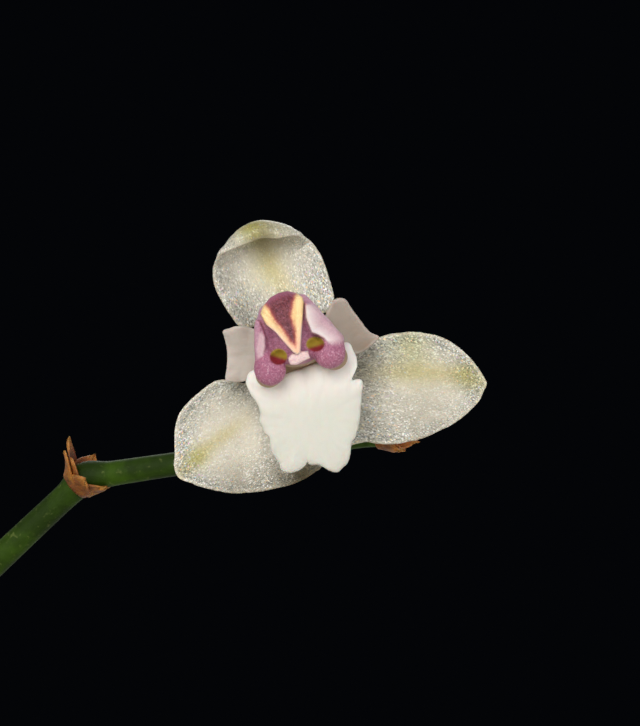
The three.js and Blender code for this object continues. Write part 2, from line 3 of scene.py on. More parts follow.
import bpy
import numpy as np
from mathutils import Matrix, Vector


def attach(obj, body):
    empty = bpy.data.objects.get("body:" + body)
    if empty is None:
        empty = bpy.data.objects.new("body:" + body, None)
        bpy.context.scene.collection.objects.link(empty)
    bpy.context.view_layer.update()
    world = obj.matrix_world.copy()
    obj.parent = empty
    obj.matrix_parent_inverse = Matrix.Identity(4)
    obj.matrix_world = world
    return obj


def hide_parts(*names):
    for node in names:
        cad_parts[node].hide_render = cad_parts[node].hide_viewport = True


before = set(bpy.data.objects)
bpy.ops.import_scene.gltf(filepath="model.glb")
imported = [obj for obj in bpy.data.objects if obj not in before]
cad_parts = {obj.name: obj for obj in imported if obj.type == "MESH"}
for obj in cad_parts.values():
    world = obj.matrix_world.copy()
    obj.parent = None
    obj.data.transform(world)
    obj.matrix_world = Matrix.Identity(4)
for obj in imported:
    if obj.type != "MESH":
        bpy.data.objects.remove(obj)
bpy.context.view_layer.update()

# Potted Sirhookera lanceolata. Everything below is worked out in millimetres and becomes metres in makePiece.
mm = 0.001
photoUnit = 0.03  # one pixel of the photograph at the front bloom, in mm
photoSize = np.array([640, 726])
bloomPixel = np.array([300.0, 345.0])  # the photograph's pixel at the front bloom's origin
frontBloomAt = np.array([50.0, -18.0, 142.0])
upward = np.array([0.0, 0.0, 1.0])
rng = np.random.default_rng(7)
print("frame loaded:", len(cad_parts), "nodes")


# Finishes: a Wire is a value inside a tree of nodes, and Finish builds a material around Principled BSDF
def srgb(red, green, blue):  # 0 to 255 as seen on a screen, to linear light
    parts = [c / 255 for c in (red, green, blue)]
    return tuple(c / 12.92 if c < 0.04045 else ((c + 0.055) / 1.055) ** 2.4 for c in parts) + (1.0,)


class Wire:  # sums, differences and products of wires add Math nodes
    def __init__(self, nodes, socket):
        self.nodes = nodes
        self.socket = socket

    def __add__(self, other):
        return self.nodes.maths("ADD", self, other)

    def __mul__(self, other):
        return self.nodes.maths("MULTIPLY", self, other)

    def __sub__(self, other):
        return self.nodes.maths("SUBTRACT", self, other)

    def __rsub__(self, other):
        return self.nodes.maths("SUBTRACT", other, self)

    __radd__, __rmul__ = __add__, __mul__

    def held(self):  # kept between 0 and 1
        return self.nodes.maths("ADD", self, 0.0, clamp=True)

    def ease(self, low, high):  # 0 below low, 1 above high, smooth between
        values = {"Value": self, "From Min": low, "From Max": high}
        return self.nodes.node("ShaderNodeMapRange", {"interpolation_type": "SMOOTHSTEP"}, values)


class Nodes:
    def __init__(self, tree):
        self.tree = tree

    def node(self, kind, settings=None, values=None, output=0):
        made = self.tree.nodes.new(kind)
        for name, value in (settings or {}).items():
            if name == "stops":
                self.setStops(made.color_ramp, value)
            else:
                setattr(made, name, value)
        for name, value in (values or {}).items():
            if isinstance(value, Wire):
                self.tree.links.new(value.socket, made.inputs[name])
            else:
                made.inputs[name].default_value = value
        return Wire(self, made.outputs[output])

    def setStops(self, ramp, stops):
        while len(ramp.elements) < len(stops):
            ramp.elements.new(0.5)
        for element, (position, colour) in zip(ramp.elements, stops):
            element.position = position
            element.color = colour

    def maths(self, operation, *values, clamp=False):
        settings = {"operation": operation, "use_clamp": clamp}
        return self.node("ShaderNodeMath", settings, dict(enumerate(values)))


class Finish(Nodes):
    def __init__(self, name, look, **uniform):  # uniform numbers go straight onto the shader's own sockets
        self.material = bpy.data.materials.new(name)
        self.material.use_nodes = True
        super().__init__(self.material.node_tree)
        self.shader = self.tree.nodes["Principled BSDF"]
        self.look = look
        for socket, value in uniform.items():
            self.shader.inputs[socket.replace("_", " ")].default_value = value

    def layers(self, colour, *stack):  # each layer is its share, its colour and perhaps how it blends
        colour = self.look[colour]
        for share, tone, *blend in stack:
            settings = {"data_type": "RGBA", "blend_type": blend[0] if blend else "MIX"}
            tone = self.look[tone] if isinstance(tone, str) else tone
            colour = self.node("ShaderNodeMix", settings, {0: share, 6: colour, 7: tone}, 2)
        return colour

    def mark(self, name):  # a number kept at each vertex
        return self.node("ShaderNodeAttribute", {"attribute_name": name}, output=2)

    def vector(self, name):  # three numbers kept at each vertex
        return self.node("ShaderNodeAttribute", {"attribute_name": name}, output=1)

    def part(self, vector, axis):
        return self.node("ShaderNodeSeparateXYZ", values={0: vector}, output="XYZ".index(axis))

    def stretch(self, vector, scale):
        return self.node("ShaderNodeVectorMath", {"operation": "MULTIPLY"}, {0: vector, 1: scale})

    def noise(self, vector, scale, detail=3.0, roughness=0.55):
        values = {"Vector": vector, "Scale": scale, "Detail": detail, "Roughness": roughness}
        return self.node("ShaderNodeTexNoise", {}, values)

    def cells(self, vector, scale, count):  # up to three random numbers for each small cell
        numbers = self.node("ShaderNodeTexVoronoi", {}, {"Vector": vector, "Scale": scale}, 1)
        return [self.part(numbers, axis) for axis in "XYZ"[:count]]

    def feed(self, **sockets):
        for name, value in sockets.items():
            self.tree.links.new(value.socket, self.shader.inputs[name.replace("_", " ")])

    def cover(self, colour, height, strength, depth, **sockets):  # the colour, the relief and what else varies
        values = {"Height": height, "Strength": strength, "Distance": depth * mm}
        self.feed(Base_Color=colour, Normal=self.node("ShaderNodeBump", {}, values), **sockets)
        return self


# Meshes
def addObject(name, data):
    made = bpy.data.objects.new(name, data)
    bpy.context.scene.collection.objects.link(made)
    return made


def makePiece(name, points, faces, finishes, slotName, standsFor, marks=None, faceFinish=None, sharp=None):
    # points are in mm; faces is a list of index arrays of any width; marks hold numbers at each vertex
    mesh = bpy.data.meshes.new(name)
    points = np.asarray(points, np.float64)
    counts = np.concatenate([np.full(len(f), f.shape[1]) for f in faces])
    corners = np.concatenate([f.ravel() for f in faces]).astype(np.int32)
    mesh.vertices.add(len(points))
    mesh.vertices.foreach_set("co", (points * mm).astype(np.float32).ravel())
    mesh.loops.add(len(corners))
    mesh.loops.foreach_set("vertex_index", corners)
    mesh.polygons.add(len(counts))
    mesh.polygons.foreach_set("loop_start", (np.cumsum(counts) - counts).astype(np.int32))
    mesh.polygons.foreach_set("use_smooth", np.ones(len(counts), bool))
    if faceFinish is not None:
        mesh.polygons.foreach_set("material_index", np.asarray(faceFinish, np.int32))
    mesh.update(calc_edges=True)
    mesh.validate()
    for mark, values in {"local": points, **(marks or {})}.items():
        values = np.asarray(values, np.float32)
        kind, field = ("FLOAT_VECTOR", "vector") if values.ndim == 2 else ("FLOAT", "value")
        mesh.attributes.new(mark, kind, "POINT").data.foreach_set(field, values.ravel())
    for finish in finishes:
        mesh.materials.append(finish.material)
    if sharp:
        mesh.set_sharp_from_angle(angle=math.radians(sharp))
    piece = addObject(name, mesh)
    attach(piece, "root")
    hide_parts(standsFor)


def unit(vectors):
    return vectors / np.maximum(np.linalg.norm(vectors, axis=-1, keepdims=True), 1e-12)


def ramped(values, low, high):  # 0 at low, 1 at high, straight between
    return np.clip((values - low) / (high - low), 0, 1)


def roundTurn(count):  # angles at even steps round a circle
    return np.linspace(0, 2 * np.pi, count, endpoint=False)


def roundRings(profile, sides):  # rings of points round the z axis, from their radii and heights
    turn = roundTurn(sides)
    rings = [np.column_stack([r * np.cos(turn), r * np.sin(turn), np.full(sides, z)]) for r, z in profile]
    return np.concatenate(rings)


def vertexNormals(points, faces):
    normals = np.zeros_like(points)
    for f in faces:
        # a quad's diagonals, or a triangle's sides
        a, b, c = (points[f[:, k]] for k in (0, 1, 2))
        crossed = np.cross(c - a, points[f[:, 3]] - b) if f.shape[1] == 4 else np.cross(b - a, c - a)
        for corner in f.T:
            np.add.at(normals, corner, crossed)
    return unit(normals)


def outwardFaces(points, faces):
    volume = 0.0
    for f in faces:
        for k in range(1, f.shape[1] - 1):
            a, b, c = points[f[:, 0]], points[f[:, k]], points[f[:, k + 1]]
            volume += np.einsum("ij,ij->i", a, np.cross(b, c)).sum()
    return faces if volume > 0 else [f[:, ::-1] for f in faces]


def smoothCurve(points, count, closed=False):
    # a centripetal spline through the points, at even steps along its length
    p = np.asarray(points, float)
    if closed:
        p = np.concatenate([p[-1:], p, p[:2]])
    else:
        p = np.concatenate([[2 * p[0] - p[1]], p, [2 * p[-1] - p[-2]]])
    step = np.maximum(np.sqrt(np.linalg.norm(np.diff(p, axis=0), axis=1)), 1e-9)
    a, b, c, d = p[:-3], p[1:-2], p[2:-1], p[3:]
    s0, s1, s2 = (step[i:len(step) - 2 + i, None] for i in range(3))
    leave = ((b - a) / s0 - (c - a) / (s0 + s1) + (c - b) / s1) * s1
    arrive = ((c - b) / s1 - (d - b) / (s1 + s2) + (d - c) / s2) * s1
    t = np.linspace(0, 1, 40, endpoint=False)[:, None, None]
    fine = ((2 * t**3 - 3 * t**2 + 1) * b + (t**3 - 2 * t**2 + t) * leave
            + (3 * t**2 - 2 * t**3) * c + (t**3 - t**2) * arrive)
    fine = fine.transpose(1, 0, 2).reshape(-1, p.shape[1])
    fine = np.concatenate([fine, p[-2][None]])
    reach = np.concatenate([[0], np.cumsum(np.linalg.norm(np.diff(fine, axis=0), axis=1))])
    wanted = np.linspace(0, reach[-1], count, endpoint=not closed)
    return np.stack([np.interp(wanted, reach, fine[:, k]) for k in range(p.shape[1])], axis=1)


def gridFaces(rows, columns, wrap):
    i, j = np.meshgrid(np.arange(rows - 1), np.arange(columns if wrap else columns - 1), indexing="ij")
    right = (j + 1) % columns
    corners = [i * columns + j, i * columns + right, (i + 1) * columns + right, (i + 1) * columns + j]
    return np.stack(corners, axis=-1).reshape(-1, 4)


def fanFaces(middle, start, count):  # triangles from a middle point to a ring of points
    k = np.arange(count)
    return np.stack([np.full(count, middle), start + k, start + (k + 1) % count], axis=1)


def tubeAlong(path, radius, sides):
    # a closed tube: radius has one number for each point, or one for each point and side
    path = np.asarray(path, float)
    count = len(path)
    along = unit(np.gradient(path, axis=0))
    side = np.cross(along[0], [0.31, 0.93, 0.2])
    frames = []
    for direction in along:
        side = unit(side - direction * (side @ direction))
        frames.append((side, np.cross(direction, side)))
    turn = roundTurn(sides)[:, None]
    first, second = (np.array([f[k] for f in frames])[:, None] for k in (0, 1))
    spread = np.broadcast_to(np.asarray(radius, float).reshape(count, -1), (count, sides))[..., None]
    ring = path[:, None] + spread * (first * np.cos(turn) + second * np.sin(turn))
    points = np.concatenate([ring.reshape(-1, 3), path[:1], path[-1:]])
    foot, head = count * sides, count * sides + 1
    return points, [gridFaces(count, sides, True), fanFaces(foot, 0, sides)[:, [0, 2, 1]],
                    fanFaces(head, (count - 1) * sides, sides)]


def slab(sheet, thickness):
    # a closed sheet from rows and columns of points
    rows, columns = sheet.shape[:2]
    normal = unit(np.cross(np.gradient(sheet, axis=1), np.gradient(sheet, axis=0)))
    half = np.broadcast_to(np.asarray(thickness) / 2, (rows, columns))[..., None]
    points = np.concatenate([(sheet + normal * half).reshape(-1, 3), (sheet - normal * half).reshape(-1, 3)])
    count = rows * columns
    index = np.arange(count).reshape(rows, columns)
    loop = np.concatenate([index[0, :-1], index[:-1, -1], index[-1, :0:-1], index[:0:-1, 0]])
    after = np.roll(loop, -1)
    front = gridFaces(rows, columns, False)
    walls = np.stack([after, loop, loop + count, after + count], axis=1)
    return points, [front, front[:, ::-1] + count, walls]


def speckle(points, scale, seed):
    # smooth random values from -1 to 1 at points, from a few waves in random directions
    source = np.random.default_rng(seed)
    total = np.zeros(len(points))
    for octave in range(3):
        for _ in range(5):
            way = source.normal(size=3) * scale * 2**octave
            total += np.sin(points @ way + source.uniform(0, 2 * np.pi)) / 2**octave
    return total / 5


class Heap:  # several closed shapes gathered into one mesh
    def __init__(self):
        self.points, self.faces, self.marks, self.kinds, self.size = [], [], [], [], 0

    def add(self, points, faces, kind=0, **marks):  # kind is the number of its finish
        self.points.append(points)
        for group in outwardFaces(points, faces):
            self.faces.append(group + self.size)
            self.kinds.append(np.full(len(group), kind))
        self.marks.append(marks)
        self.size += len(points)

    def addTube(self, path, radius, sides, kind=0, matrix=None, **marks):
        # a mark has one number for each point of the path, or one for each point and side
        points, faces = tubeAlong(path, radius, sides)
        for name, values in marks.items():
            values = np.broadcast_to(values.reshape(len(path), -1), (len(path), sides))
            marks[name] = np.concatenate([values.ravel(), values[[0, -1], 0]])
        self.add(points if matrix is None else moved(points, matrix), faces, kind, **marks)

    def piece(self, name, finishes, slotName, standsFor):
        marks = {}
        for mark in sorted({key for each in self.marks for key in each}):
            marks[mark] = np.concatenate([np.broadcast_to(np.asarray(each.get(mark, 0.0), float), (len(points),))
                                          for each, points in zip(self.marks, self.points)])
        makePiece(name, np.concatenate(self.points), self.faces, finishes, slotName, standsFor, marks,
                  np.concatenate(self.kinds))


# Blooms are shaped in their own frame: right, up and towards the viewer, in mm
def toBloom(pixels):  # photograph pixels to the bloom's own right and up, in mm
    return (np.asarray(pixels, float) - bloomPixel) * [photoUnit, -photoUnit]


def toPixel(points):
    return np.asarray(points)[:, :2] / [photoUnit, -photoUnit] + bloomPixel


blooms = [  # where each bloom is, the heading and lift of its face, its roll and its size
    {"name": "front_bloom", "origin": frontBloomAt, "facing": (-90, 0), "roll": 0, "size": 1.0},
    {"name": "bloom_2", "origin": [29, -13, 143], "facing": (-118, 12), "roll": 8, "size": 0.94},
    {"name": "bloom_3", "origin": [41, -20, 113], "facing": (-72, -4), "roll": -14, "size": 0.97},
    {"name": "bloom_4", "origin": [-27, -30, 138], "facing": (-112, 6), "roll": 10, "size": 0.96},
    {"name": "bloom_5", "origin": [-13, -33, 121], "facing": (-84, 4), "roll": -8, "size": 0.92},
]


def bloomMatrix(bloom):
    turn, lift = np.radians(bloom["facing"])
    towards = np.array([math.cos(lift) * math.cos(turn), math.cos(lift) * math.sin(turn), math.sin(lift)])
    right = unit(np.cross(upward, towards))
    up = unit(np.cross(towards, right))
    c, s = math.cos(math.radians(bloom["roll"])), math.sin(math.radians(bloom["roll"]))
    matrix = np.eye(4)
    matrix[:3, :3] = np.column_stack([right * c + up * s, up * c - right * s, towards]) * bloom["size"]
    matrix[:3, 3] = bloom["origin"]
    return matrix


def moved(points, matrix):
    return np.asarray(points) @ matrix[:3, :3].T + matrix[:3, 3]


# Each blade's outline, middle and midline are photograph pixels; rise is its depth in mm at the bloom's
# middle, its slope and its bowl; curl turns the margin forward round a heading; waves have a size, a count
# and a phase; shades, spots, opaque and glint spots are soft spots: pixel x, pixel y, radius and strength.
# The shades are painted shade and shadow, and the glint spots are where more painted glints go
dorsalSepal = {
    "outline": [(239, 326), (230, 315), (223, 304), (217, 293), (213, 280), (212.5, 268), (216, 258), (222, 248),
                (230, 237.5), (240, 228), (250, 222.5), (262, 220), (275, 221.5), (290, 226), (300, 233),
                (310, 240), (318, 250), (324, 262), (329, 277), (332, 287), (334, 298), (330, 310), (318, 314),
                (300, 313), (280, 314), (262, 321), (250, 328)],
    "middle": (275, 275), "rise": (-0.95, -0.02, 0.35), "thickness": 0.2,
    "curl": {"heading": 109, "spread": 66, "radius": 0.5, "turn": 172, "fade": 3},
    "midline": [(296, 330), (287, 296), (272, 268), (262, 245), (254, 222)],
    "bandWidth": 13, "bandFrom": 0.05, "spots": [(250, 228, 15, 0.95), (266, 272, 18, 0.3), (276, 233, 18, 0.3)],
    "opaque": [(266, 262, 44, 1.0)], "waves": (0.03, 5, 0.6), "ragged": 0.3,
    # painted shade under and on the hood, at the lower left and along the left edge
    "shades": [(240, 316, 24, 0.35), (250, 230, 26, 0.2), (270, 229, 16, 0.22), (224, 276, 16, 0.3),
               (268, 249, 17, 0.4)],
    "glitter": [(328, 290, 16, 1.0), (240, 305, 18, 0.5), (300, 285, 20, 0.3)],
}
leftSepal = {
    "outline": [(245, 383), (232, 380.5), (218, 380), (209, 384.5), (199, 392), (189, 401), (181, 410),
                (176.5, 420), (174, 432), (174, 446), (174, 458), (173.5, 466), (176, 475), (180, 479.5),
                (190, 483), (200, 487), (215, 491), (230, 493.5), (245, 493.5), (260, 492), (275, 489),
                (290, 485.5), (303, 480), (313, 474), (322, 467), (324, 456), (318, 440), (309, 410), (300, 382),
                (288, 368), (264, 371)],
    "middle": (246, 432), "rise": (-0.95, 0.02, 0.3), "thickness": 0.2,
    "curl": {"heading": 214, "spread": 150, "radius": 0.6, "turn": 34, "fade": 2},
    "midline": [(290, 385), (255, 411), (232, 430), (212, 444), (195, 459), (178, 475)],
    "bandWidth": 8, "bandFrom": 0.3, "spots": [(196, 458, 12, 0.8)],
    "opaque": [(236, 448, 44, 1.0), (222, 425, 30, 0.6)],
    # painted shadow under the lip, and painted shade at the top and the bottom
    "shades": [(306, 480, 38, 1.0), (250, 388, 30, 0.35), (238, 490, 28, 0.45)],
    "glitter": [(178, 440, 15, 1.0), (182, 468, 12, 0.7), (230, 480, 24, 0.3)],
    "waves": (0.035, 6, 1.9), "ragged": 0.35,
}
rightSepal = {
    "outline": [(345, 338), (362, 338), (379, 337), (390, 334), (402, 332.5), (413, 331.5), (425, 333),
                (438, 335.5), (450, 341), (460, 348), (470, 357), (478, 367), (483, 375), (487, 384), (484, 391),
                (480, 400), (471, 410), (461, 419), (450, 426), (438, 432), (425, 438), (410, 442),
                (395, 444.5), (380, 444.3), (366, 442.5), (350, 446), (334, 451), (329, 438), (320, 408),
                (311, 378), (316, 364), (328, 348)],
    "middle": (398, 388), "rise": (-0.95, 0.03, 0.3), "thickness": 0.2,
    "curl": {"heading": 0, "spread": 150, "radius": 0.6, "turn": 30, "fade": 2},
    "midline": [(320, 362), (360, 370), (400, 372), (440, 373), (465, 376), (487, 384)],
    "bandWidth": 11, "bandFrom": 0.2, "spots": [(468, 374, 13, 0.7), (420, 370, 20, 0.25), (410, 342, 22, 0.55)],
    # the shades are painted shade beside the lip and on the lower half
    "opaque": [(425, 392, 48, 1.0)], "shades": [(360, 368, 24, 0.6), (368, 425, 24, 0.3), (420, 414, 36, 0.35)],
    "glitter": [(372, 410, 18, 0.5), (460, 350, 20, 0.3), (390, 425, 16, 0.4)],
    "waves": (0.035, 6, 0.4), "ragged": 0.3,
}
leftPetal = {
    "outline": [(255, 329), (246, 326.5), (238, 326), (230, 328), (223, 331), (224.5, 338), (227, 350), (227, 365),
                (226, 380), (233, 382), (245, 381), (255, 377), (264, 371), (270, 358), (271, 344), (268, 334)],
    "middle": (248, 355), "rise": (0.0, -0.05, 0.1), "thickness": 0.18, "curl": None,
    # the shades are painted shade beside the column's lobe
    "midline": [(276, 352), (250, 354), (225, 356)], "waves": (0.04, 4, 0.3), "shades": [(262, 368, 16, 0.5)],
    "ragged": 0.25,
}
rightPetal = {
    "outline": [(334, 300), (340, 298), (346, 300), (350, 306), (358, 317), (370, 332), (379, 337), (372, 345),
                (362, 352), (345, 356), (330, 352), (323, 340), (322, 328), (326, 314)],
    "middle": (348, 330), "rise": (0.0, -0.05, 0.1), "thickness": 0.18, "curl": None,
    "midline": [(325, 345), (345, 325), (360, 312)], "waves": (0.04, 3, 1.2), "ragged": 0.25,
    # the shades are painted shade over the petal, deepest low down
    "shades": [(350, 322, 40, 0.72), (362, 345, 14, 0.75)],
}
lipBlade = {
    "outline": [(254, 369.5), (249, 373), (246.5, 380), (247, 386), (250, 392), (255, 400), (259, 407), (260, 413),
                (259.5, 420), (262, 427), (265, 433), (269, 437), (270, 443), (271, 451), (275, 457), (279, 463),
                (281, 469), (285, 471.5), (292, 472), (298, 470.5), (303, 467), (306, 464.5), (307, 462),
                (309, 464), (314, 464.5), (319, 464.5), (324, 467), (330, 470.5), (336, 471.5), (340, 470),
                (344, 466), (348, 461), (350, 455), (351, 448), (352, 441), (355, 437), (357, 431), (359.5, 420),
                (360.5, 410), (361.5, 400), (361.5, 392), (363, 385), (361.5, 380.5), (358, 379), (352, 379.5),
                (355, 372), (357, 365), (356, 357), (353, 350), (350, 344), (346, 342), (340, 346), (334, 356),
                (326, 362), (318, 363), (310, 365), (303, 368), (296, 370), (289, 372.5), (280, 376),
                (268, 375), (260, 371)],
    "middle": (312, 420), "rise": (1.15, 0.0, -0.16), "thickness": 0.2, "curl": None,
    "midline": [(300, 360), (305, 410), (307, 465)], "waves": (0.035, 9, 0.7), "ragged": 0.6, "shades": [],
}


heart = np.array([0, 0.1])  # where the blades meet, right and up in mm
edgeFade = 0.45  # mm from the margin over which a blade thins
bladeDetail = {"front": (280, 34, 0), "other": (90, 14, 10)}  # spokes, rings and the first seed


def lineDistance(pixels, line):
    # how far each pixel is from a line, less the line's width there if its points have a third number
    line = np.asarray(line, float)
    best = np.full(len(pixels), 1e9)
    for a, b in zip(line, line[1:]):
        way = b[:2] - a[:2]
        t = np.clip((pixels - a[:2]) @ way / (way @ way), 0, 1)
        away = np.linalg.norm(pixels - a[:2] - t[:, None] * way, axis=1)
        best = np.minimum(best, away - a[2:].sum() - (b[2:] - a[2:]).sum() * t)
    return best


def insideBy(pixels, polygon):  # signed distance to a polygon's edge, positive inside
    polygon = np.asarray(polygon, float)
    x, y = pixels.T
    inside = np.zeros(len(pixels), bool)
    for a, b in zip(polygon, np.roll(polygon, -1, axis=0)):
        level = (y - a[1]) / (b[1] - a[1] + 1e-12)
        inside ^= ((a[1] > y) != (b[1] > y)) & (x < a[0] + level * (b[0] - a[0]))
    away = lineDistance(pixels, [*polygon, polygon[0]])
    return np.where(inside, away, -away)


def blurredSpots(pixels, spots):
    total = np.zeros(len(pixels))
    for x, y, radius, strength in spots:
        total += strength * np.exp(-((pixels[:, 0] - x) ** 2 + (pixels[:, 1] - y) ** 2) / radius**2)
    return np.clip(total, 0, 1)


def bladeSheet(blade, spokes, rings, seed):
    # rings of points from the middle out to the margin, whose curled part bends forward
    edge = smoothCurve(blade["outline"], spokes, closed=True)
    jag = blade["ragged"] * speckle(np.column_stack([edge, np.zeros(spokes)]), 0.45, seed + 60)
    edge = toBloom(edge + jag[:, None] * unit(edge - blade["middle"]))
    centre = toBloom(blade["middle"])
    length = np.linalg.norm(edge - centre, axis=1)
    angle = np.unwrap(np.arctan2(*(edge - centre).T[::-1]))
    sense = np.sign(angle[-1] - angle[0])
    angle = sense * np.maximum.accumulate(sense * angle)  # no spoke crosses the one before it
    out = np.column_stack([np.cos(angle), np.sin(angle)])
    share = np.linspace(0, 1, rings + 1)[1:, None] ** 0.9
    curl, turn, radius = blade["curl"], np.zeros(spokes), 1.0
    if curl:
        off = angle - math.radians(curl["heading"])
        off = np.abs(np.arctan2(np.sin(off), np.cos(off))) / math.radians(curl["spread"])
        turn = math.radians(curl["turn"]) * (1 - np.minimum(off, 1) ** curl["fade"])
        radius = curl["radius"]
    length = length - blade["thickness"] / 2 * (0.35 + 0.65 * ramped(turn, 1.5, 2.3))
    straight = length - radius * np.sin(np.minimum(turn, np.pi / 2))
    path = share * (straight + radius * turn)
    bent = np.maximum(path - straight, 0) / radius
    flat = centre + out[None] * (np.minimum(path, straight) + radius * np.sin(bent))[..., None]
    size, count, phase = blade["waves"]
    far = np.minimum(share if curl else np.linalg.norm(flat - centre, axis=-1) / np.mean(length), 1.2)
    wave = size * (np.sin(count * angle + phase) * far**3 + 0.4 * np.sin(round(2.7 * count) * angle) * far**4)
    sheet = np.concatenate([[centre], flat.reshape(-1, 2)])
    toRim = np.concatenate([[np.mean(path[-1])], (path[-1] - path).ravel()])
    if not curl:
        toRim = np.maximum(insideBy(toPixel(sheet), toPixel(flat[-1])), 0) * photoUnit
    along = (sheet - heart) @ unit(centre - heart)
    level, slope, bowl = blade["rise"]
    away = np.sum((sheet - centre) ** 2, axis=1) / np.mean(length) ** 2
    depth = level + slope * (along - np.linalg.norm(centre - heart)) * along + bowl * away
    depth[1:] += (radius * (1 - np.cos(bent)) + wave).ravel()
    points = np.column_stack([sheet, depth])
    points[:, 2] += 0.02 * speckle(points, 1.6, seed)
    return points, toRim


def bladeMarks(blade, pixels, local, toRim):
    line = np.asarray(blade["midline"], float)
    foot, tip = toBloom(line[0]), toBloom(line[-1])
    way = unit(tip - foot)
    along = (local[:, :2] - foot) @ way
    across = (local[:, :2] - foot) @ np.array([-way[1], way[0]])
    # shade is painted shade and shadow, from the blade's shade spots
    marks = {"blade": np.column_stack([along, across, local[:, 2]]), "toRim": toRim,
             "shade": blurredSpots(pixels, blade["shades"])}
    if "bandWidth" in blade:
        reach = along / np.linalg.norm(tip - foot)
        band = np.exp(-(lineDistance(pixels, line) / blade["bandWidth"]) ** 2)
        marks["band"] = band * ramped(reach, blade["bandFrom"], blade["bandFrom"] + 0.25)
        marks["spot"] = blurredSpots(pixels, blade["spots"])
        # where more painted glints gather
        marks["glitter"] = blurredSpots(pixels, blade["glitter"])
        glass = 1.05 - 1.1 * blurredSpots(pixels, blade["opaque"]) + 0.25 * ramped(toRim, edgeFade, 0)
        marks["glass"] = np.clip(glass, 0, 1)
    return marks


def makeBlade(blade, spokes, rings, seed):
    # both faces of the sheet, thinner towards the margin, joined by a rounded edge
    sheet, toRim = bladeSheet(blade, spokes, rings, seed)
    fan = fanFaces(0, 1, spokes)
    quads = 1 + gridFaces(rings, spokes, True)[:, [0, 3, 2, 1]]
    normals = vertexNormals(sheet, [fan, quads])
    if normals[0, 2] < 0:
        normals = -normals
    half = (blade["thickness"] / 2 * np.sqrt(1.04 - 0.9 * ramped(toRim, edgeFade, 0) ** 3))[:, None]
    count = len(sheet)
    rim = np.arange(count - spokes, count)
    edge = sheet[rim] + unit(sheet[rim] - sheet[rim - spokes]) * half[rim]
    loop = np.arange(2 * count, 2 * count + spokes)
    after, loopAfter = np.roll(rim, -1), np.roll(loop, -1)
    walls = [np.stack([loop, loopAfter, after, rim], axis=1),
             np.stack([count + rim, count + after, loopAfter, loop], axis=1)]
    faces = [fan, quads, fan[:, ::-1] + count, quads[:, ::-1] + count, *walls]
    points = np.concatenate([sheet + normals * half, sheet - normals * half, edge])
    pixels = toPixel(np.concatenate([sheet, sheet, sheet[rim]]))
    marks = bladeMarks(blade, pixels, points, np.concatenate([toRim, toRim, np.zeros(spokes)]))
    return points, outwardFaces(points, faces), marks


sepalLook = {
    "milky": srgb(230, 223, 205), "milkyGrain": srgb(202, 197, 180), "glassy": srgb(188, 186, 174),
    # glint, and the hues below, are the colours of painted glints
    "glassyDark": srgb(112, 114, 106), "glint": srgb(255, 253, 246), "band": srgb(240, 234, 202),
    # shade is the brown of painted shade and shadow
    "spot": srgb(226, 228, 164), "shade": srgb(120, 108, 76), "rim": srgb(240, 230, 204),
    "cell": 34.0,  # crystals to the millimetre
    "hues": [(0.0, srgb(255, 190, 140)), (0.4, srgb(255, 244, 180)), (0.7, srgb(180, 226, 240)),
             (1.0, srgb(244, 190, 226))],
}
# the darker colour is painted shade at the shade spots and a light random mottle elsewhere
petalLook = {"body": srgb(190, 180, 170), "base": srgb(146, 130, 114), "edge": srgb(216, 206, 198)}
# lighter and warmer at the top, partly the lip's own warm tint and partly painted light, and a touch darker lower down
lipLook = {"body": srgb(211, 210, 199), "warm": srgb(241, 234, 228), "low": srgb(209, 208, 197),
           "streak": srgb(208, 206, 192)}


def sepalFinish():
    finish = Finish("crystalline sepal", sepalLook, Subsurface_Weight=0.1, Subsurface_Scale=0.25 * mm,
                    Specular_IOR_Level=0.5)
    where = finish.stretch(finish.vector("blade"), (0.6, 1.0, 1.0))  # along the blade, across it, and depth, in mm
    one, two, three = finish.cells(where, sepalLook["cell"], 3)
    cloud = finish.noise(where, 2.2, 5.0, 0.65)
    glass = (finish.mark("glass") + (cloud - 0.5) * 1.1).held()
    glitter = finish.mark("glitter")
    # painted glints: the glint specks, and the coloured specks from the hues, stand in for light caught by the
    # crystals
    glassy = finish.layers("glassy", (one.ease(0.3, 1.0) * 0.9, "glassyDark"), (two.ease(0.7, 1.0) * 0.9, "glint"))
    hue = finish.node("ShaderNodeValToRGB", {"stops": sepalLook["hues"]}, {0: one})
    # the last layer multiplies in the painted shade and shadow
    colour = finish.layers(
        "milky", (one * 0.5, "milkyGrain"), (two.ease(0.85, 0.95) * 0.6, "glint"), (glass, glassy),
        (finish.mark("band"), "band", "MULTIPLY"), (finish.mark("spot"), "spot", "MULTIPLY"),
        ((three + glitter * 0.1).ease(0.93, 0.96) * (glass * 0.5 + 0.25 + glitter * 0.4), hue),
        ((1 - finish.mark("toRim") * 16.0).held() * 0.3, "rim"), (finish.mark("shade"), "shade", "MULTIPLY"))
    return finish.cover(colour, one * 0.5 + cloud, 0.5, 0.02, Roughness=0.52 - two.ease(0.55, 0.95) * 0.3)


def petalFinish():
    finish = Finish("smooth petal", petalLook, Roughness=0.5, Subsurface_Weight=0.2, Subsurface_Scale=0.3 * mm)
    where = finish.vector("blade")
    cloud = finish.noise(finish.stretch(where, (0.7, 2.0, 1.0)), 2.0)
    folds = finish.noise(finish.stretch(where, (0.3, 3.4, 1.0)), 1.0, 2.0)
    # painted shade: the darker tone darkens the petal at its shade spots, and in a light random mottle
    colour = finish.layers("body", (finish.mark("shade"), "base"), (cloud.ease(0.4, 0.8) * 0.25, "base"),
                           ((1 - finish.mark("toRim") * 18.0).held() * 0.3, "edge"))
    return finish.cover(colour, finish.noise(where, 14.0) * 0.3 + cloud * 0.6 + folds * 1.5, 0.5, 0.03)


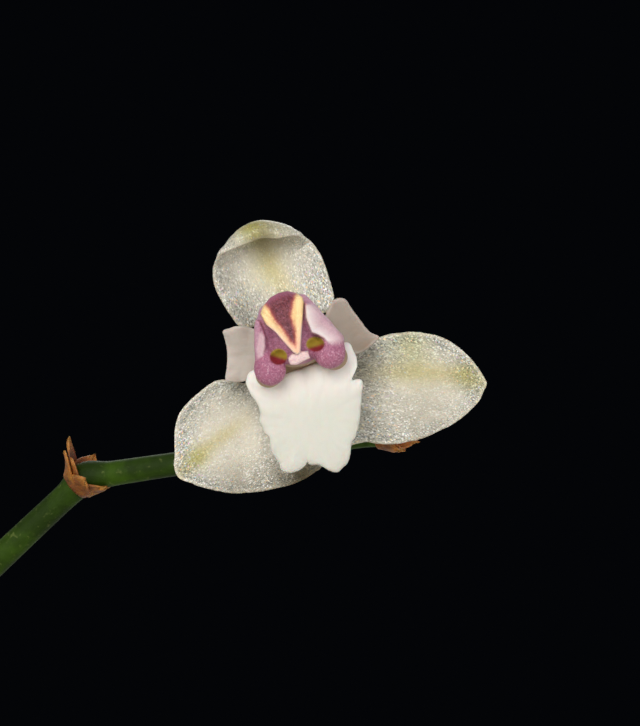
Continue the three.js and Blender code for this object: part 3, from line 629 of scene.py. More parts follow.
def lipFinish():
    finish = Finish("white lip", lipLook, Roughness=0.6, Subsurface_Weight=0.3, Subsurface_Scale=0.3 * mm)
    where = finish.vector("blade")
    streaks = finish.noise(finish.stretch(where, (0.5, 4.0, 1.0)), 1.6, 4.0, 0.6)
    along = finish.part(where, "X")
    # lighter and warmer at the top, partly the lip's own warm tint and partly painted light, and a touch darker
    # towards the bottom
    colour = finish.layers("warm", (along.ease(0.2, 1.6), "body"), (along.ease(1.8, 3.6) * 0.7, "low"),
                           (streaks.ease(0.5, 0.85) * 0.4, "streak"))
    return finish.cover(colour, streaks * 0.5 + finish.noise(where, 18.0) * 0.5, 0.3, 0.02)


print("finishes for the bloom")
sepalSkin, petalSkin = sepalFinish(), petalFinish()
bladeParts = [  # the end of each name, the blade, its finish and its slot
    ("dorsal_sepal", dorsalSepal, sepalSkin, "sepal"), ("lateral_sepal_left", leftSepal, sepalSkin, "sepal"),
    ("lateral_sepal_right", rightSepal, sepalSkin, "sepal"), ("petal_left", leftPetal, petalSkin, "petal"),
    ("petal_right", rightPetal, petalSkin, "petal"), ("lip", lipBlade, lipFinish(), "lip"),
]


# The column: rounded forms melted together and hollowed, then skinned with a net of small faces
def capsule(p, a, b, first, last):
    a, b = np.asarray(a, float), np.asarray(b, float)
    t = np.clip((p - a) @ (b - a) / ((b - a) @ (b - a)), 0, 1)
    return np.linalg.norm(p - a - t[..., None] * (b - a), axis=-1) - (first + (last - first) * t)


def melt(a, b, width):
    share = np.clip(0.5 + 0.5 * (b - a) / width, 0, 1)
    return b + (a - b) * share - width * share * (1 - share)


def hollow(a, b, width):
    return -melt(-a, b, width)  # what is left of a once b is taken out


def at(x, y, depth):  # a point of the column from a photograph pixel and its depth in mm
    return [*toBloom((x, y)), depth]


def egg(p, middle, radii):  # its radii are in pixels
    radii = np.array(radii) * photoUnit
    return (np.linalg.norm((p - at(*middle)) / radii, axis=-1) - 1) * radii.min()


def chain(p, beads, width=0.06):
    # beads are pixel x, pixel y, depth and radius in pixels
    links = [capsule(p, at(*a[:3]), at(*b[:3]), a[3] * photoUnit, b[3] * photoUnit) for a, b in zip(beads, beads[1:])]
    total = links[0]
    for link in links[1:]:
        total = melt(total, link, width)
    return total


columnForm = {
    # an egg has a middle (pixel x, pixel y, depth) and three radii in pixels, and a chain has beads
    "body": ((290, 326, 1.3), (31, 31, 22)), "foot": ((300, 352, 0.65), (33, 24, 14)),
    "plate": ((294, 347, 1.3), (30, 20, 22)),
    "leftWing": [(268, 314, 1.4, 9), (262.8, 328, 1.55, 7.6), (262.3, 346, 1.6, 7.2), (268, 366, 1.75, 12.5)],
    "rightWing": [(302, 302, 1.4, 7.5), (311, 312.5, 1.5, 8), (323, 327, 1.6, 9), (333, 341, 1.7, 10.5),
                  (330, 353, 1.75, 13)],
    "leftLobe": ((270.7, 370, 1.75), (15.6, 15.6, 13)), "rightLobe": ((329.6, 353, 1.75), (15.6, 15.6, 13)),
    # the lumps under the lobes, like the foot, lie deep and are painted in the tan of shade
    "leftUnder": ((269, 375, 1.4), (13, 12.5, 8)), "rightUnder": ((334, 357, 1.4), (13.5, 13, 8)),
    "anther": [(283, 313, 1.48, 25), (291, 334, 1.78, 15), (298, 350, 1.96, 9)],
    "trough": [(284, 311, 2.62, 16), (292, 334, 2.5, 10), (297, 345, 2.44, 5)],
    "leftRidge": [(265.5, 317, 1.98, 4.5), (273, 327, 2.08, 4.4), (285, 340.5, 2.16, 3.6), (296, 352, 2.2, 3)],
    "rightRidge": [(299, 301, 1.96, 5), (299, 317, 2.1, 4.6), (298.5, 335, 2.18, 3.6), (298, 351, 2.2, 2.8)],
    "leftPit": ((279, 356.8, 2.05), (8.4, 7.8, 13)), "rightPit": ((315.3, 344.3, 2.05), (8.8, 7.2, 13)),
}
columnEdge = [(288, 291.5), (279, 293.5), (270, 298.5), (263.5, 305), (257, 313), (255, 321), (255, 345), (255, 364),
              (258, 374), (265, 381), (275, 386), (283, 381), (288, 371), (302, 366), (317, 364.5), (326, 368.5),
              (334, 367.5), (341, 360), (345, 350), (344, 341), (338.5, 331.5), (328.5, 321), (314, 306.5),
              (303, 295), (297, 292.5)]
antherEdge = [(261, 314), (263.5, 307), (270, 298.6), (278.6, 293.6), (288, 291.5), (297, 293.5), (302.5, 298),
              (304, 303), (303, 316), (301.5, 337), (300.8, 352), (298, 355.5), (293.5, 352.5), (284.5, 342.5),
              (276, 332.5), (266.5, 325)]
leftFlap = [(256, 320), (260, 321), (263.5, 328), (266, 337), (266.5, 347), (264.5, 356), (262, 362), (256, 362),
            (255, 345), (255, 328)]
rightFlap = [(304.5, 303), (309, 303.5), (316, 309), (328.5, 321.5), (338.5, 332), (343.5, 341), (338, 347),
             (328.6, 344), (324, 338.8), (318, 335.4), (311.5, 333), (308.5, 325.5), (305.5, 318)]
toothEdge = [(288.5, 358), (292.5, 353.5), (297, 354.5), (301.5, 351.5), (308, 351), (310.5, 358), (303, 361.6),
             (297, 365), (291, 365), (288.8, 361.5)]
creamBands = [  # each point's last number is the band's width there, in pixels
    [(261, 313.5, 8.4), (266.5, 325, 8.2), (276, 332.5, 6.6), (285, 342.5, 4.8), (294, 352, 4.6), (298, 356, 4.6)],
    [(303.5, 299, 8), (303.8, 306, 10), (303, 315, 10.5), (302, 323, 7.5), (301.5, 331, 5.2), (301, 339, 4.6),
     (300.5, 353, 4.8)],
]
# the wings' pale inner faces, partly their own pale colour and partly painted highlight; paleEdge is their crisp edge,
# where a painted highlight runs
leftPale = [(258.5, 332), (263, 331), (266, 337), (266.5, 347), (264.5, 356), (258, 361), (256, 350)]
rightPale = [(305, 305), (312, 304), (325, 312), (345, 328), (350, 346), (334, 350), (328.6, 344), (324, 338.8),
             (318, 335.4), (311.5, 333), (308.5, 325.5), (305.5, 318)]
paleEdge = [(266, 332), (266.5, 347), (264, 358), (300, 380), (328.6, 344), (318, 335.4), (311.5, 333),
            (308.5, 325.5), (305.5, 312)]
columnPlaces = {  # photograph pixels
    "netFrom": (243, 392), "netTo": (357, 283), "paleEnds": (347, 340), "lobes": [(270, 371), (330, 353)],
    "levels": [((279, 357.2), -0.3), ((315, 346.4), 0.3)],  # where the red in a pit starts and how that line slopes
    "between": 297, "underFrom": 345, "seam": (322, 328), "low": (318, 344),
}
# under sets the depths at which the column turns to the tan of painted shade
columnDepths = {"net": (0.38, 2.85), "back": 0.5, "front": (1.35, 1.5), "under": (1.62, 1.56), "tooth": 1.85}


def inward(p, polygon):  # how far inside a polygon of pixels each column of the grid stands, in mm
    flat = insideBy(toPixel(p[:, :, 0].reshape(-1, 3)), polygon)
    return flat.reshape(p.shape[:2])[..., None] * photoUnit


def plate(p, polygon, low, high, soft, tilt=(0.0, 0.0)):  # a flat piece with a soft edge, leaning across and down
    side = soft - inward(p, polygon)
    middle = toBloom(np.mean(polygon, axis=0))
    lean = (p[..., :2] - middle) @ np.asarray(tilt)
    depth = np.abs(p[..., 2] + lean - (low + high) / 2) - ((high - low) / 2 - soft)
    outside = np.hypot(np.maximum(side, 0), np.maximum(depth, 0))
    return outside + np.minimum(np.maximum(side, depth), 0) - soft


def columnField(p):  # below 0 inside the column
    form = columnForm
    total = egg(p, *form["body"])
    for name, width in (("foot", 0.2), ("plate", 0.1), ("leftUnder", 0.04), ("rightUnder", 0.04)):
        total = melt(total, egg(p, *form[name]), width)
    for name in ("leftWing", "rightWing"):
        total = melt(total, chain(p, form[name]), 0.08)
    total = melt(total, plate(p, leftFlap, 1.3, 1.98, 0.1, (-0.3, 0.0)), 0.03)
    total = melt(total, plate(p, rightFlap, 1.3, 2.02, 0.1, (0.22, 0.22)), 0.03)
    for name in ("leftLobe", "rightLobe"):
        total = melt(total, egg(p, *form[name]), 0.11)
    wedge = hollow(chain(p, form["anther"]), chain(p, form["trough"]), 0.1)
    for name in ("leftRidge", "rightRidge"):
        wedge = melt(wedge, chain(p, form[name]), 0.06)
    total = melt(total, hollow(wedge, inward(p, antherEdge), 0.05), 0.02)
    for name in ("leftPit", "rightPit"):
        total = hollow(total, egg(p, *form[name]), 0.03)
    return melt(total, plate(p, toothEdge, 1.7, 2.14, 0.08), 0.02)


netCorners = np.array([(i, j, k) for i in (0, 1) for j in (0, 1) for k in (0, 1)])
netEdges = [(a, b) for a in range(8) for b in range(a + 1, 8) if abs(netCorners[a] - netCorners[b]).sum() == 1]


def netAround(field, low, step):
    # one vertex in each cell that the surface crosses, and one face for each grid edge that it crosses
    size = np.array(field.shape) - 1
    corner = np.stack([field[i:i + size[0], j:j + size[1], k:k + size[2]] for i, j, k in netCorners], axis=-1)
    crossed = (corner < 0).any(axis=-1) & (corner >= 0).any(axis=-1)
    index = np.full(size, -1)
    index[crossed] = np.arange(crossed.sum())
    values = corner[crossed]
    total, hits = np.zeros((len(values), 3)), np.zeros(len(values))
    for a, b in netEdges:
        cut = (values[:, a] < 0) != (values[:, b] < 0)
        t = values[cut, a] / (values[cut, a] - values[cut, b])
        total[cut] += netCorners[a] + t[:, None] * (netCorners[b] - netCorners[a])
        hits[cut] += 1
    points = (np.argwhere(crossed) + total / hits[:, None]) * step + low
    faces = []
    for axis in range(3):
        one, two = (axis + 1) % 3, (axis + 2) % 3
        inside = np.moveaxis(field, axis, 0) < 0
        cut = np.argwhere(inside[:-1] != inside[1:])
        cell = np.insert(cut[:, 1:], axis, cut[:, 0], axis=1)
        quad = []
        for back, down in ((1, 1), (0, 1), (0, 0), (1, 0)):
            near = cell.copy()
            near[:, one] -= back
            near[:, two] -= down
            quad.append(index[tuple(near.T)])
        quad = np.stack(quad, axis=1)
        faces.append(np.where(inside[tuple(cut.T)][:, None], quad, quad[:, ::-1]))
    return points, faces


def columnNet(step):
    near, far = columnDepths["net"]
    low, high = at(*columnPlaces["netFrom"], near), at(*columnPlaces["netTo"], far)
    axes = [np.arange(a, b, step) for a, b in zip(low, high)]
    grid = np.stack(np.meshgrid(*axes, indexing="ij"), axis=-1)
    points, faces = netAround(np.maximum(columnField(grid), columnDepths["back"] - grid[..., 2]), low, step)
    return points, faces, columnMarks(points)


def columnMarks(local):
    places, depths = columnPlaces, columnDepths
    pixels, depth = toPixel(local), local[:, 2]
    x, y = pixels.T
    front = ramped(depth, *depths["front"])
    anther = insideBy(pixels, antherEdge)
    nearEdge = lineDistance(pixels, paleEdge)
    # the wings' pale inner faces, partly painted highlight
    right = ramped(insideBy(pixels, rightPale), -1, 1.5) * ramped(y, *places["paleEnds"])
    left = np.minimum(ramped(insideBy(pixels, leftPale), -0.4, 3.6), 0.7)
    # painted highlight: a near-white band along the wings' crisp edge
    whiter = np.maximum(right * np.exp(-(nearEdge / 8) ** 2), left * np.exp(-(nearEdge / 3) ** 2))
    pits = [columnForm[name] for name in ("leftPit", "rightPit")]
    pit = np.max([1.1 - np.linalg.norm((pixels - spot[:2]) / size[:2], axis=1) for spot, size in pits], axis=0)
    lobe = np.max([1 - np.linalg.norm(pixels - spot, axis=1) / 25 for spot in places["lobes"]], axis=0)
    leftLevel, rightLevel = (y - middle[1] + (x - middle[0]) * slope for middle, slope in places["levels"])
    return {
        "bloom": local, "wedge": ramped(anther, -0.5, 0.5) * front,
        "cream": np.clip(np.max([-lineDistance(pixels, band) for band in creamBands], axis=0), -8, 8),
        "seam": np.exp(-(anther / 1.1) ** 2) * ramped(y, *places["seam"]), "whiter": whiter,
        "pale": np.maximum(right * np.exp(-(nearEdge / 19) ** 2), left) * front,
        "pit": np.clip(pit * 6, 0, 1) * front, "pitLevel": np.where(x < places["between"], leftLevel, rightLevel),
        "lobe": np.clip(lobe * 2.6, 0, 1), "low": ramped(y, *places["low"]),
        # painted shade: deep parts below the lobes and in the throat are coloured tan
        "under": ramped(depth, *depths["under"]) * (y > places["underFrom"]),
        "tooth": ramped(insideBy(pixels, toothEdge), -0.5, 0.5) * (depth > depths["tooth"]),
        "outer": np.exp(-(insideBy(pixels, columnEdge) / 4.5) ** 2),
    }


columnLook = {
    "skin": srgb(168, 106, 132), "grain": srgb(116, 60, 84), "outer": srgb(196, 153, 172), "lobe": srgb(174, 106, 132),
    # sparkle is the colour of painted glints
    "lobeGrain": srgb(130, 64, 98), "sparkle": srgb(216, 176, 192), "pale": srgb(214, 184, 188),
    # pale, above, is partly painted highlight, and the near-white colour that starts this line is painted highlight
    "paleInner": srgb(230, 218, 216), "maroon": srgb(88, 22, 36), "wedgeTop": srgb(120, 48, 58),
    "wedgeGrain": srgb(72, 18, 32), "orange": srgb(196, 94, 84), "cream": srgb(252, 216, 156),
    "creamLow": srgb(246, 198, 164), "seam": srgb(250, 226, 218), "olive": srgb(162, 138, 38),
    # the last colour here is painted shade for the recesses below the lobes and in the throat
    "red": srgb(136, 28, 44), "tooth": srgb(232, 202, 198), "tan": srgb(166, 140, 112),
}


def columnFinish():
    finish = Finish("velvet column", columnLook, Subsurface_Weight=0.15, Subsurface_Scale=0.2 * mm)
    where = finish.vector("bloom")
    one, two = finish.cells(where, 26.0, 2)
    cloud = finish.noise(where, 4.0, 2.0)
    low, outer = finish.mark("low"), finish.mark("outer")
    rim = finish.layers("outer", (one * 0.4, "lobe"))
    # the sparkle specks on the lobes are painted glints
    lobes = finish.layers("lobe", (one.ease(0.1, 0.9) * 0.55, "lobeGrain"), (two.ease(0.75, 1.0) * 0.5, "sparkle"))
    # the wings' pale faces are partly painted highlight, with a near-white painted highlight along their crisp edge
    pale = finish.layers("pale", (one * 0.25, "outer"), (finish.mark("whiter"), "paleInner"))
    cream = finish.mark("cream") + (cloud - 0.5) * 3.0 + (one - 0.5) * 0.8
    # on the maroon, the light specks in the lobe colour are painted glints
    wedge = finish.layers(
        "wedgeTop", (low, "maroon"), (one.ease(0.25, 0.85) * 0.7, "wedgeGrain"), (two.ease(0.72, 0.97) * 0.35, "lobe"),
        (outer * 0.7, "lobe"), (cream.ease(-4.6, 0.6) * 0.85, "orange"),
        (cream.ease(-2.2, 2.2), finish.layers("cream", (low, "creamLow"))), (finish.mark("seam") * 0.8, "seam"))
    pits = finish.layers("olive", (finish.mark("pitLevel").ease(-2.2, 2.4), "red"))
    # the under layer paints the recesses below the lobes and in the throat in the tan of shade
    colour = finish.layers(
        "skin", (one.ease(0.2, 0.9) * 0.6, "grain"), (outer * 0.9, rim), (finish.mark("lobe"), lobes),
        ((finish.mark("pale") + (cloud - 0.5) * 0.3).held(), pale), (finish.mark("wedge"), wedge),
        (finish.mark("pit"), pits), (finish.mark("under"), "tan"),
        (finish.mark("tooth"), finish.layers("tooth", (one.ease(0.3, 0.9) * 0.4, "outer"))))
    return finish.cover(colour, one, 0.5, 0.02, Roughness=0.42 + one * 0.25 + finish.mark("pit") * 0.3)


columnSkin = columnFinish()
columnNets = {"front": columnNet(0.024), "other": columnNet(0.062)}
print("column net:", len(columnNets["front"][0]), "points")


def makeBloom(bloom):
    which = "front" if bloom is blooms[0] else "other"
    spokes, rings, firstSeed = bladeDetail[which]
    matrix = bloomMatrix(bloom)
    for number, (part, blade, skin, slotName) in enumerate(bladeParts):
        points, faces, marks = makeBlade(blade, spokes, rings, firstSeed + number)
        name = f"{bloom['name']}_{part}"
        # the front bloom's blades are nodes of their own, and the others' blades share one
        ending, node = ("_fine", name) if which == "front" else ("", bloom["name"] + "_petals")
        makePiece(name + ending, moved(points, matrix), faces, [skin], slotName, node, marks)
    points, faces, marks = columnNets[which]
    name = bloom["name"] + "_column"
    makePiece(name + "_fine", moved(points, matrix), faces, [columnSkin], "column", name, marks)


for bloom in blooms:
    makeBloom(bloom)
print("blooms done")


# Pot, bark, rhizome and roots
potLook = {
    "height": 62, "rimRadius": 34, "baseRadius": 22, "wall": 3.6, "floor": 4.6,
    "holes": 5, "holeRadius": 2.6, "holeCircle": 11,  # the drain holes and how far they are from the middle
    "clay": srgb(178, 98, 66), "pale": srgb(206, 142, 108), "deep": srgb(136, 70, 46), "lime": srgb(212, 196, 178),
}


def potInner(z):  # the pot's inside radius at a height
    look = potLook
    share = (z - look["floor"]) / (look["height"] - look["floor"])
    return look["baseRadius"] + (look["rimRadius"] - look["baseRadius"]) * share - look["wall"]


def clayFinish():
    finish = Finish("clay", potLook, Roughness=0.9, Specular_IOR_Level=0.25)
    where = finish.vector("local")
    bands = finish.noise(finish.stretch(where, (0.1, 0.1, 0.6)), 1.0)
    lime = finish.noise(where, 0.14, 5.0, 0.65).ease(0.52, 0.72)
    lime = lime * (1 - finish.part(where, "Z").ease(6.0, 46.0) * 0.65)
    grit = finish.noise(where, 2.6)
    colour = finish.layers(
        "deep", (finish.noise(where, 0.06, 4.0).ease(0.35, 0.65), "clay"), (bands.ease(0.45, 0.8) * 0.5, "pale"),
        (lime * 0.6, "lime"), (grit.ease(0.6, 0.8) * 0.35, "deep"))
    grooves = finish.noise(finish.stretch(where, (0.05, 0.05, 2.2)), 1.0, 2.0)
    return finish.cover(colour, grit * 0.4 + grooves * 0.6, 0.5, 0.3)


def makePot():
    top, floor, rim, sides = potLook["height"], potLook["floor"], potLook["rimRadius"], 144
    corners = [(0, 0), (20.6, 0), (21.4, 0.25), (22, 1.0), (26, 23.6), (rim - 3.7, 46.8), (rim - 2.6, 47.7),
               (rim - 1.3, 48.0), (rim - 0.7, 48.5), (rim - 0.5, 49.4), (rim - 0.2, 55), (rim, 60.3),
               (rim - 0.3, 61.4), (rim - 1.1, top), (rim - 2.4, top), (rim - 3.2, 61.6), (potInner(60.4), 60.4),
               (potInner(33), 33), (potInner(6), 6), (17.6, 4.75), (16.6, floor), (0, floor)]
    profile = []
    for (r, z), (r2, z2) in zip(corners, corners[1:]):
        steps = max(1, int(math.hypot(r2 - r, z2 - z) / 2.2))
        profile += [(r + (r2 - r) * k / steps, z + (z2 - z) * k / steps) for k in range(steps)]
    rings = roundRings(profile[1:], sides)
    points = np.concatenate([rings, [[0, 0, 0], [0, 0, floor]]])
    points[:, :2] *= 1 + 0.0025 * np.sin(3 * np.arctan2(points[:, 1:2], points[:, :1]) + 0.06 * points[:, 2:])
    faces = [gridFaces(len(rings) // sides, sides, True), fanFaces(len(rings), 0, sides)[:, ::-1],
             fanFaces(len(rings) + 1, len(rings) - sides, sides)]
    points, faces = drained(points, outwardFaces(points, faces))
    makePiece("clay_pot", points, faces, [clayFinish()], "clay", "pot", sharp=40)


def drained(points, faces):  # round holes cut through the pot's floor
    look, cutters = potLook, []
    mesh = bpy.data.meshes.new("undrained")
    mesh.from_pydata(points.tolist(), [], [f.tolist() for group in faces for f in group])
    body = addObject("undrained", mesh)
    for turn in roundTurn(look["holes"]) + math.pi / look["holes"]:
        middle = (look["holeCircle"] * math.cos(turn), look["holeCircle"] * math.sin(turn), look["floor"] / 2)
        bpy.ops.mesh.primitive_cylinder_add(vertices=40, radius=look["holeRadius"], depth=9, location=middle)
        cutters.append(bpy.context.object)
        cut = body.modifiers.new("hole", "BOOLEAN")
        cut.operation, cut.object, cut.solver = "DIFFERENCE", cutters[-1], "EXACT"
    result = body.evaluated_get(bpy.context.evaluated_depsgraph_get()).to_mesh()
    result.calc_loop_triangles()
    corners = np.array([t.vertices[:] for t in result.loop_triangles])
    left = np.array([v.co[:] for v in result.vertices])
    for each in [body, *cutters]:
        bpy.data.objects.remove(each)
    return left, [corners]


barkLook = {
    "foot": 4.9, "top": 53, "gap": 0.4,  # the filling's two levels and its distance from the pot
    "ringSizes": [2, 6, 9, 13], "firstRing": 4, "ringStep": 6, "chipDetail": 13,
    "fragments": 150, "fragmentReach": 26.6, "fragmentDetail": 5,
    "dark": srgb(52, 34, 24), "body": srgb(104, 70, 48), "pale": srgb(158, 118, 84), "grey": srgb(120, 108, 96),
    "moss": srgb(78, 88, 36),
}


def seededRandom(seed):  # the same run of numbers as the solids use, so that the chips lie in the same places
    state, low = seed, 0xffffffff
    while True:
        state = (state + 0x6d2b79f5) & low
        t = ((state ^ (state >> 15)) * (1 | state)) & low
        t = ((t + (((t ^ (t >> 7)) * (61 | t)) & low)) & low) ^ t
        yield ((t ^ (t >> 14)) & low) / 4294967296


def roundedBlock(size, detail):
    # a box with soft corners, from the six sides of a grid
    line = np.linspace(-1, 1, detail)
    a, b = (g.ravel() for g in np.meshgrid(line, line, indexing="ij"))
    one = np.ones(len(a))
    sides = [(a, b, one), (b, a, -one), (one, a, b), (-one, b, a), (b, one, a), (a, -one, b)]
    points = np.concatenate([np.column_stack(s) for s in sides])
    faces = gridFaces(detail, detail, False)
    faces = np.concatenate([faces + k * detail * detail for k in range(6)])
    points, back = np.unique(np.round(points, 6), axis=0, return_inverse=True)
    points = points / np.sum(np.abs(points) ** 12, axis=1, keepdims=True) ** (1 / 12)
    return points * np.asarray(size) / 2, back.reshape(-1)[faces]


def turnMatrix(angles):  # turns about x, then y, then z of the piece's own axes
    (cx, cy, cz), (sx, sy, sz) = np.cos(angles), np.sin(angles)
    return (np.array([[1, 0, 0], [0, cx, -sx], [0, sx, cx]]) @ np.array([[cy, 0, sy], [0, 1, 0], [-sy, 0, cy]])
            @ np.array([[cz, -sz, 0], [sz, cz, 0], [0, 0, 1]]))


def addChip(heap, size, angles, centre, detail, seed):
    points, faces = roundedBlock(size, detail)
    layers = np.round(2.2 * speckle(points * [0.25, 0.5, 2.6], 1.0, seed))[:, None] / 2.2
    grain = speckle(points, 1.7, seed + 1)[:, None]
    points = points * (1 + 0.07 * grain) + unit(points) * [1, 1, 0.3] * (0.34 * layers * min(size) / 3)
    points = points @ turnMatrix(angles).T + centre
    heap.add(points, [faces], tone=np.random.default_rng(seed).uniform())


def makeBark():
    look = barkLook
    top, heap, draw = look["top"], Heap(), seededRandom(20)

    def between(low, high):
        return low + (high - low) * next(draw)

    for ring, count in enumerate(look["ringSizes"]):
        for i in range(count):
            radius = look["firstRing"] + look["ringStep"] * ring + between(-1.2, 1.2)
            turn = 2 * math.pi * (i + between(0, 0.6)) / count
            size = [between(5, 9), between(3.6, 6), between(2.2, 3.6)]
            angles = [between(-0.35, 0.35), between(-0.35, 0.35), between(0, 2 * math.pi)]
            reach = min(radius, potInner(top) - 5.4)
            centre = [reach * math.cos(turn), reach * math.sin(turn), top + between(-0.2, 1.3)]
            addChip(heap, size, angles, centre, look["chipDetail"], 100 * ring + i)
    for i in range(look["fragments"]):
        radius, turn = look["fragmentReach"] * math.sqrt(rng.uniform()), rng.uniform(0, 2 * math.pi)
        size = rng.uniform([1.6, 1.2, 0.8], [4.6, 2.6, 1.6])
        centre = [radius * math.cos(turn), radius * math.sin(turn), top + rng.uniform(0.0, 1.7)]
        angles = rng.uniform([-0.7, -0.7, 0], [0.7, 0.7, 6.3])
        addChip(heap, size, angles, centre, look["fragmentDetail"], 1000 + i)
    # the filling below the chips
    sides, foot, gap, edge = 72, look["foot"], look["gap"], potInner(top) - 0.3
    rows = [(gap, foot), (potInner(foot) - gap, foot), *((edge * k, top) for k in (1, 0.96, 0.8, 0.6, 0.4, 0.2))]
    points = roundRings([*rows, (gap, top)], sides)
    points[2 * sides:, 2] += 0.5 * speckle(points[2 * sides:], 0.5, 4) - 0.3
    k = np.arange(sides)
    caps = [k[::-1][None], (len(points) - sides + k)[None]]
    heap.add(points, [gridFaces(len(points) // sides, sides, True), *caps], tone=0.2)
    heap.piece("bark", [barkFinish()], "bark", "bark_filling")


def barkFinish():
    finish = Finish("bark", barkLook, Roughness=0.9, Specular_IOR_Level=0.25)
    where, tone = finish.vector("local"), finish.mark("tone")
    grain = finish.noise(finish.stretch(where, (0.5, 0.5, 2.0)), 1.1, 4.0, 0.6)
    moss = finish.noise(where, 0.16, 4.0).ease(0.56, 0.68) * finish.noise(where, 2.0, 2.0).ease(0.42, 0.6)
    colour = finish.layers(
        "dark", ((grain * 0.7 + tone * 0.3).ease(0.3, 0.6), "body"),
        ((grain * 0.5 + tone * 0.5).ease(0.55, 0.8) * 0.75, "pale"), (tone.ease(0.78, 0.98) * 0.6, "grey"),
        (moss * 0.8, "moss"))
    return finish.cover(colour, finish.noise(where, 4.5, 4.0, 0.65) * 0.5 + grain, 0.9, 0.35)


rhizomeLevel = 57.0  # the height at which the stems leave it
rhizomeLook = {"brown": srgb(112, 88, 52), "green": srgb(112, 124, 62), "root": srgb(196, 194, 172),
               "rootShade": srgb(144, 146, 116), "scar": srgb(74, 54, 34)}
rhizomeBranches = [
    [(-16, 3, 57), (-8, 0, 57.4), (-1, -2, 57), (6, -1, 57.4), (14, 1, 57)],
    [(-1, -2, 57), (1, 5, 57.3), (2, 12.5, 56.8)],
    [(-8, 0, 57.3), (-9, -5, 57.3), (-8, -10, 56.8)],
    [(6, -1, 57.3), (8, -5, 57.3), (9, -10.5, 56.8)],
]
rootPaths = [
    [(-15, 3, 57), (-19, 7, 58.2), (-21.5, 11, 56.6), (-22.2, 12, 50)],
    [(-16, 2, 57), (-20, -1, 57.9), (-24, -5, 56), (-24.6, -6, 50)],
    [(-8, -9, 57), (-11, -15, 58), (-11.5, -20.5, 56.8), (-11.4, -22.4, 50)],
    [(9, -10, 57), (12, -14, 58.2), (16, -17.5, 57), (17.6, -18, 50)],
    [(14, 1, 57), (19, -2, 58.2), (23, -4, 56.8), (24.6, -4, 50)],
    [(13, 1, 57), (15, 7, 58.2), (18.6, 12, 57), (19.8, 14.6, 50)],
    [(2, 12, 57), (6, 17, 58), (8.6, 22, 56.4), (8.8, 23.6, 50)],
    [(2, 12, 57), (-4, 17, 58.2), (-8, 21.5, 56.8), (-9, 23, 50)],
    [(0, -2, 57), (2, -11, 58.2), (3, -19, 57.4), (4, -24, 50)],
]


def rhizomeFinish():
    finish = Finish("rhizome", rhizomeLook, Roughness=0.6)
    where = finish.vector("local")
    colour = finish.layers("brown", (finish.noise(where, 0.5).ease(0.35, 0.65), "green"),
                           (finish.mark("scar"), "scar"))
    return finish.cover(colour, finish.noise(where, 3.0), 0.6, 0.2)


def rootFinish():
    finish = Finish("root skin", rhizomeLook, Roughness=0.8, Specular_IOR_Level=0.3)
    where = finish.vector("local")
    colour = finish.layers("root", (finish.noise(where, 0.7, 4.0).ease(0.4, 0.7), "rootShade"),
                           (finish.noise(where, 5.0, 2.0).ease(0.6, 0.8) * 0.4, "brown"))
    return finish.cover(colour, finish.noise(where, 3.5, 4.0), 0.6, 0.2)


def makeRhizome():
    heap = Heap()
    s = np.linspace(0, 1, 90)
    scars = np.exp(-(((s * 12) % 1 - 0.5) / 0.12) ** 2)
    for number, branch in enumerate(rhizomeBranches):
        swell = 1.9 + 0.25 * np.cos(8 * np.pi * s) + 0.12 * scars
        radius = swell[:, None] * (1 + 0.04 * np.cos(3 * np.linspace(0, 6.28, 20) + number))
        radius[[0, -1]] *= 0.6
        heap.addTube(smoothCurve(branch, 90), radius, 20, scar=scars * 0.8)
    for number, way in enumerate(rootPaths):
        path = smoothCurve(way, 70)
        path = path + 0.16 * np.column_stack([speckle(path, 0.35, 10 * number + k) for k in range(3)])
        radius = np.linspace(0.95, 0.7125, 70) * (1 + 0.07 * speckle(path, 0.8, number + 50))
        heap.addTube(path, radius, 14, kind=1)
    heap.piece("rhizome", [rhizomeFinish(), rootFinish()], "root", "rhizome_and_roots")


# Leafy stems
shoots = [  # foot, heading and tilt, the stem's length, the leaf's length and width, and its arch
    {"foot": (-15, 3), "heading": 172, "tilt": 30, "stem": 25, "leaf": 62, "width": 12, "arch": 30},
    {"foot": (-8, -9.5), "heading": 236, "tilt": 31, "stem": 27, "leaf": 66, "width": 12.6, "arch": 34},
    {"foot": (-7, 0.5), "heading": 142, "tilt": 15, "stem": 37, "leaf": 72, "width": 13, "arch": 18},
    {"foot": (-1.5, -2.5), "heading": 250, "tilt": 8, "stem": 42, "leaf": 70, "width": 13.4, "arch": 14},
    {"foot": (1, 5.5), "heading": 84, "tilt": 16, "stem": 38, "leaf": 73, "width": 12.4, "arch": 20},
    {"foot": (9, -9.5), "heading": 306, "tilt": 33, "stem": 26, "leaf": 60, "width": 12.2, "arch": 36},
    {"foot": (6, -1), "heading": 8, "tilt": 17, "stem": 38, "leaf": 54, "width": 11.4, "arch": 30,
     "leafHeading": 72},
    {"foot": (14, 1), "heading": 350, "tilt": 46, "stem": 22, "leaf": 56, "width": 11, "arch": 34},
    {"foot": (2, 12), "heading": 112, "tilt": 38, "stem": 23, "leaf": 58, "width": 11.6, "arch": 36},
]
stemForm = {"bow": 1.6, "core": 1.15, "sheaths": 4, "sheathFoot": 0.2, "flare": 0.5, "slant": 0.05}
leafForm = {"fold": (48, 14), "thickness": 0.42, "keel": 0.5, "foot": 0.25, "wave": 0.35}
leafLook = {
    "upper": srgb(70, 104, 42), "deep": srgb(44, 78, 30), "vein": srgb(108, 138, 66), "under": srgb(112, 134, 78),
    "tip": srgb(140, 112, 56), "sheath": srgb(176, 148, 104), "sheathDark": srgb(112, 80, 48),
    "fresh": srgb(128, 142, 76),
}


def heading(degrees):
    return np.array([math.cos(math.radians(degrees)), math.sin(math.radians(degrees)), 0.0])


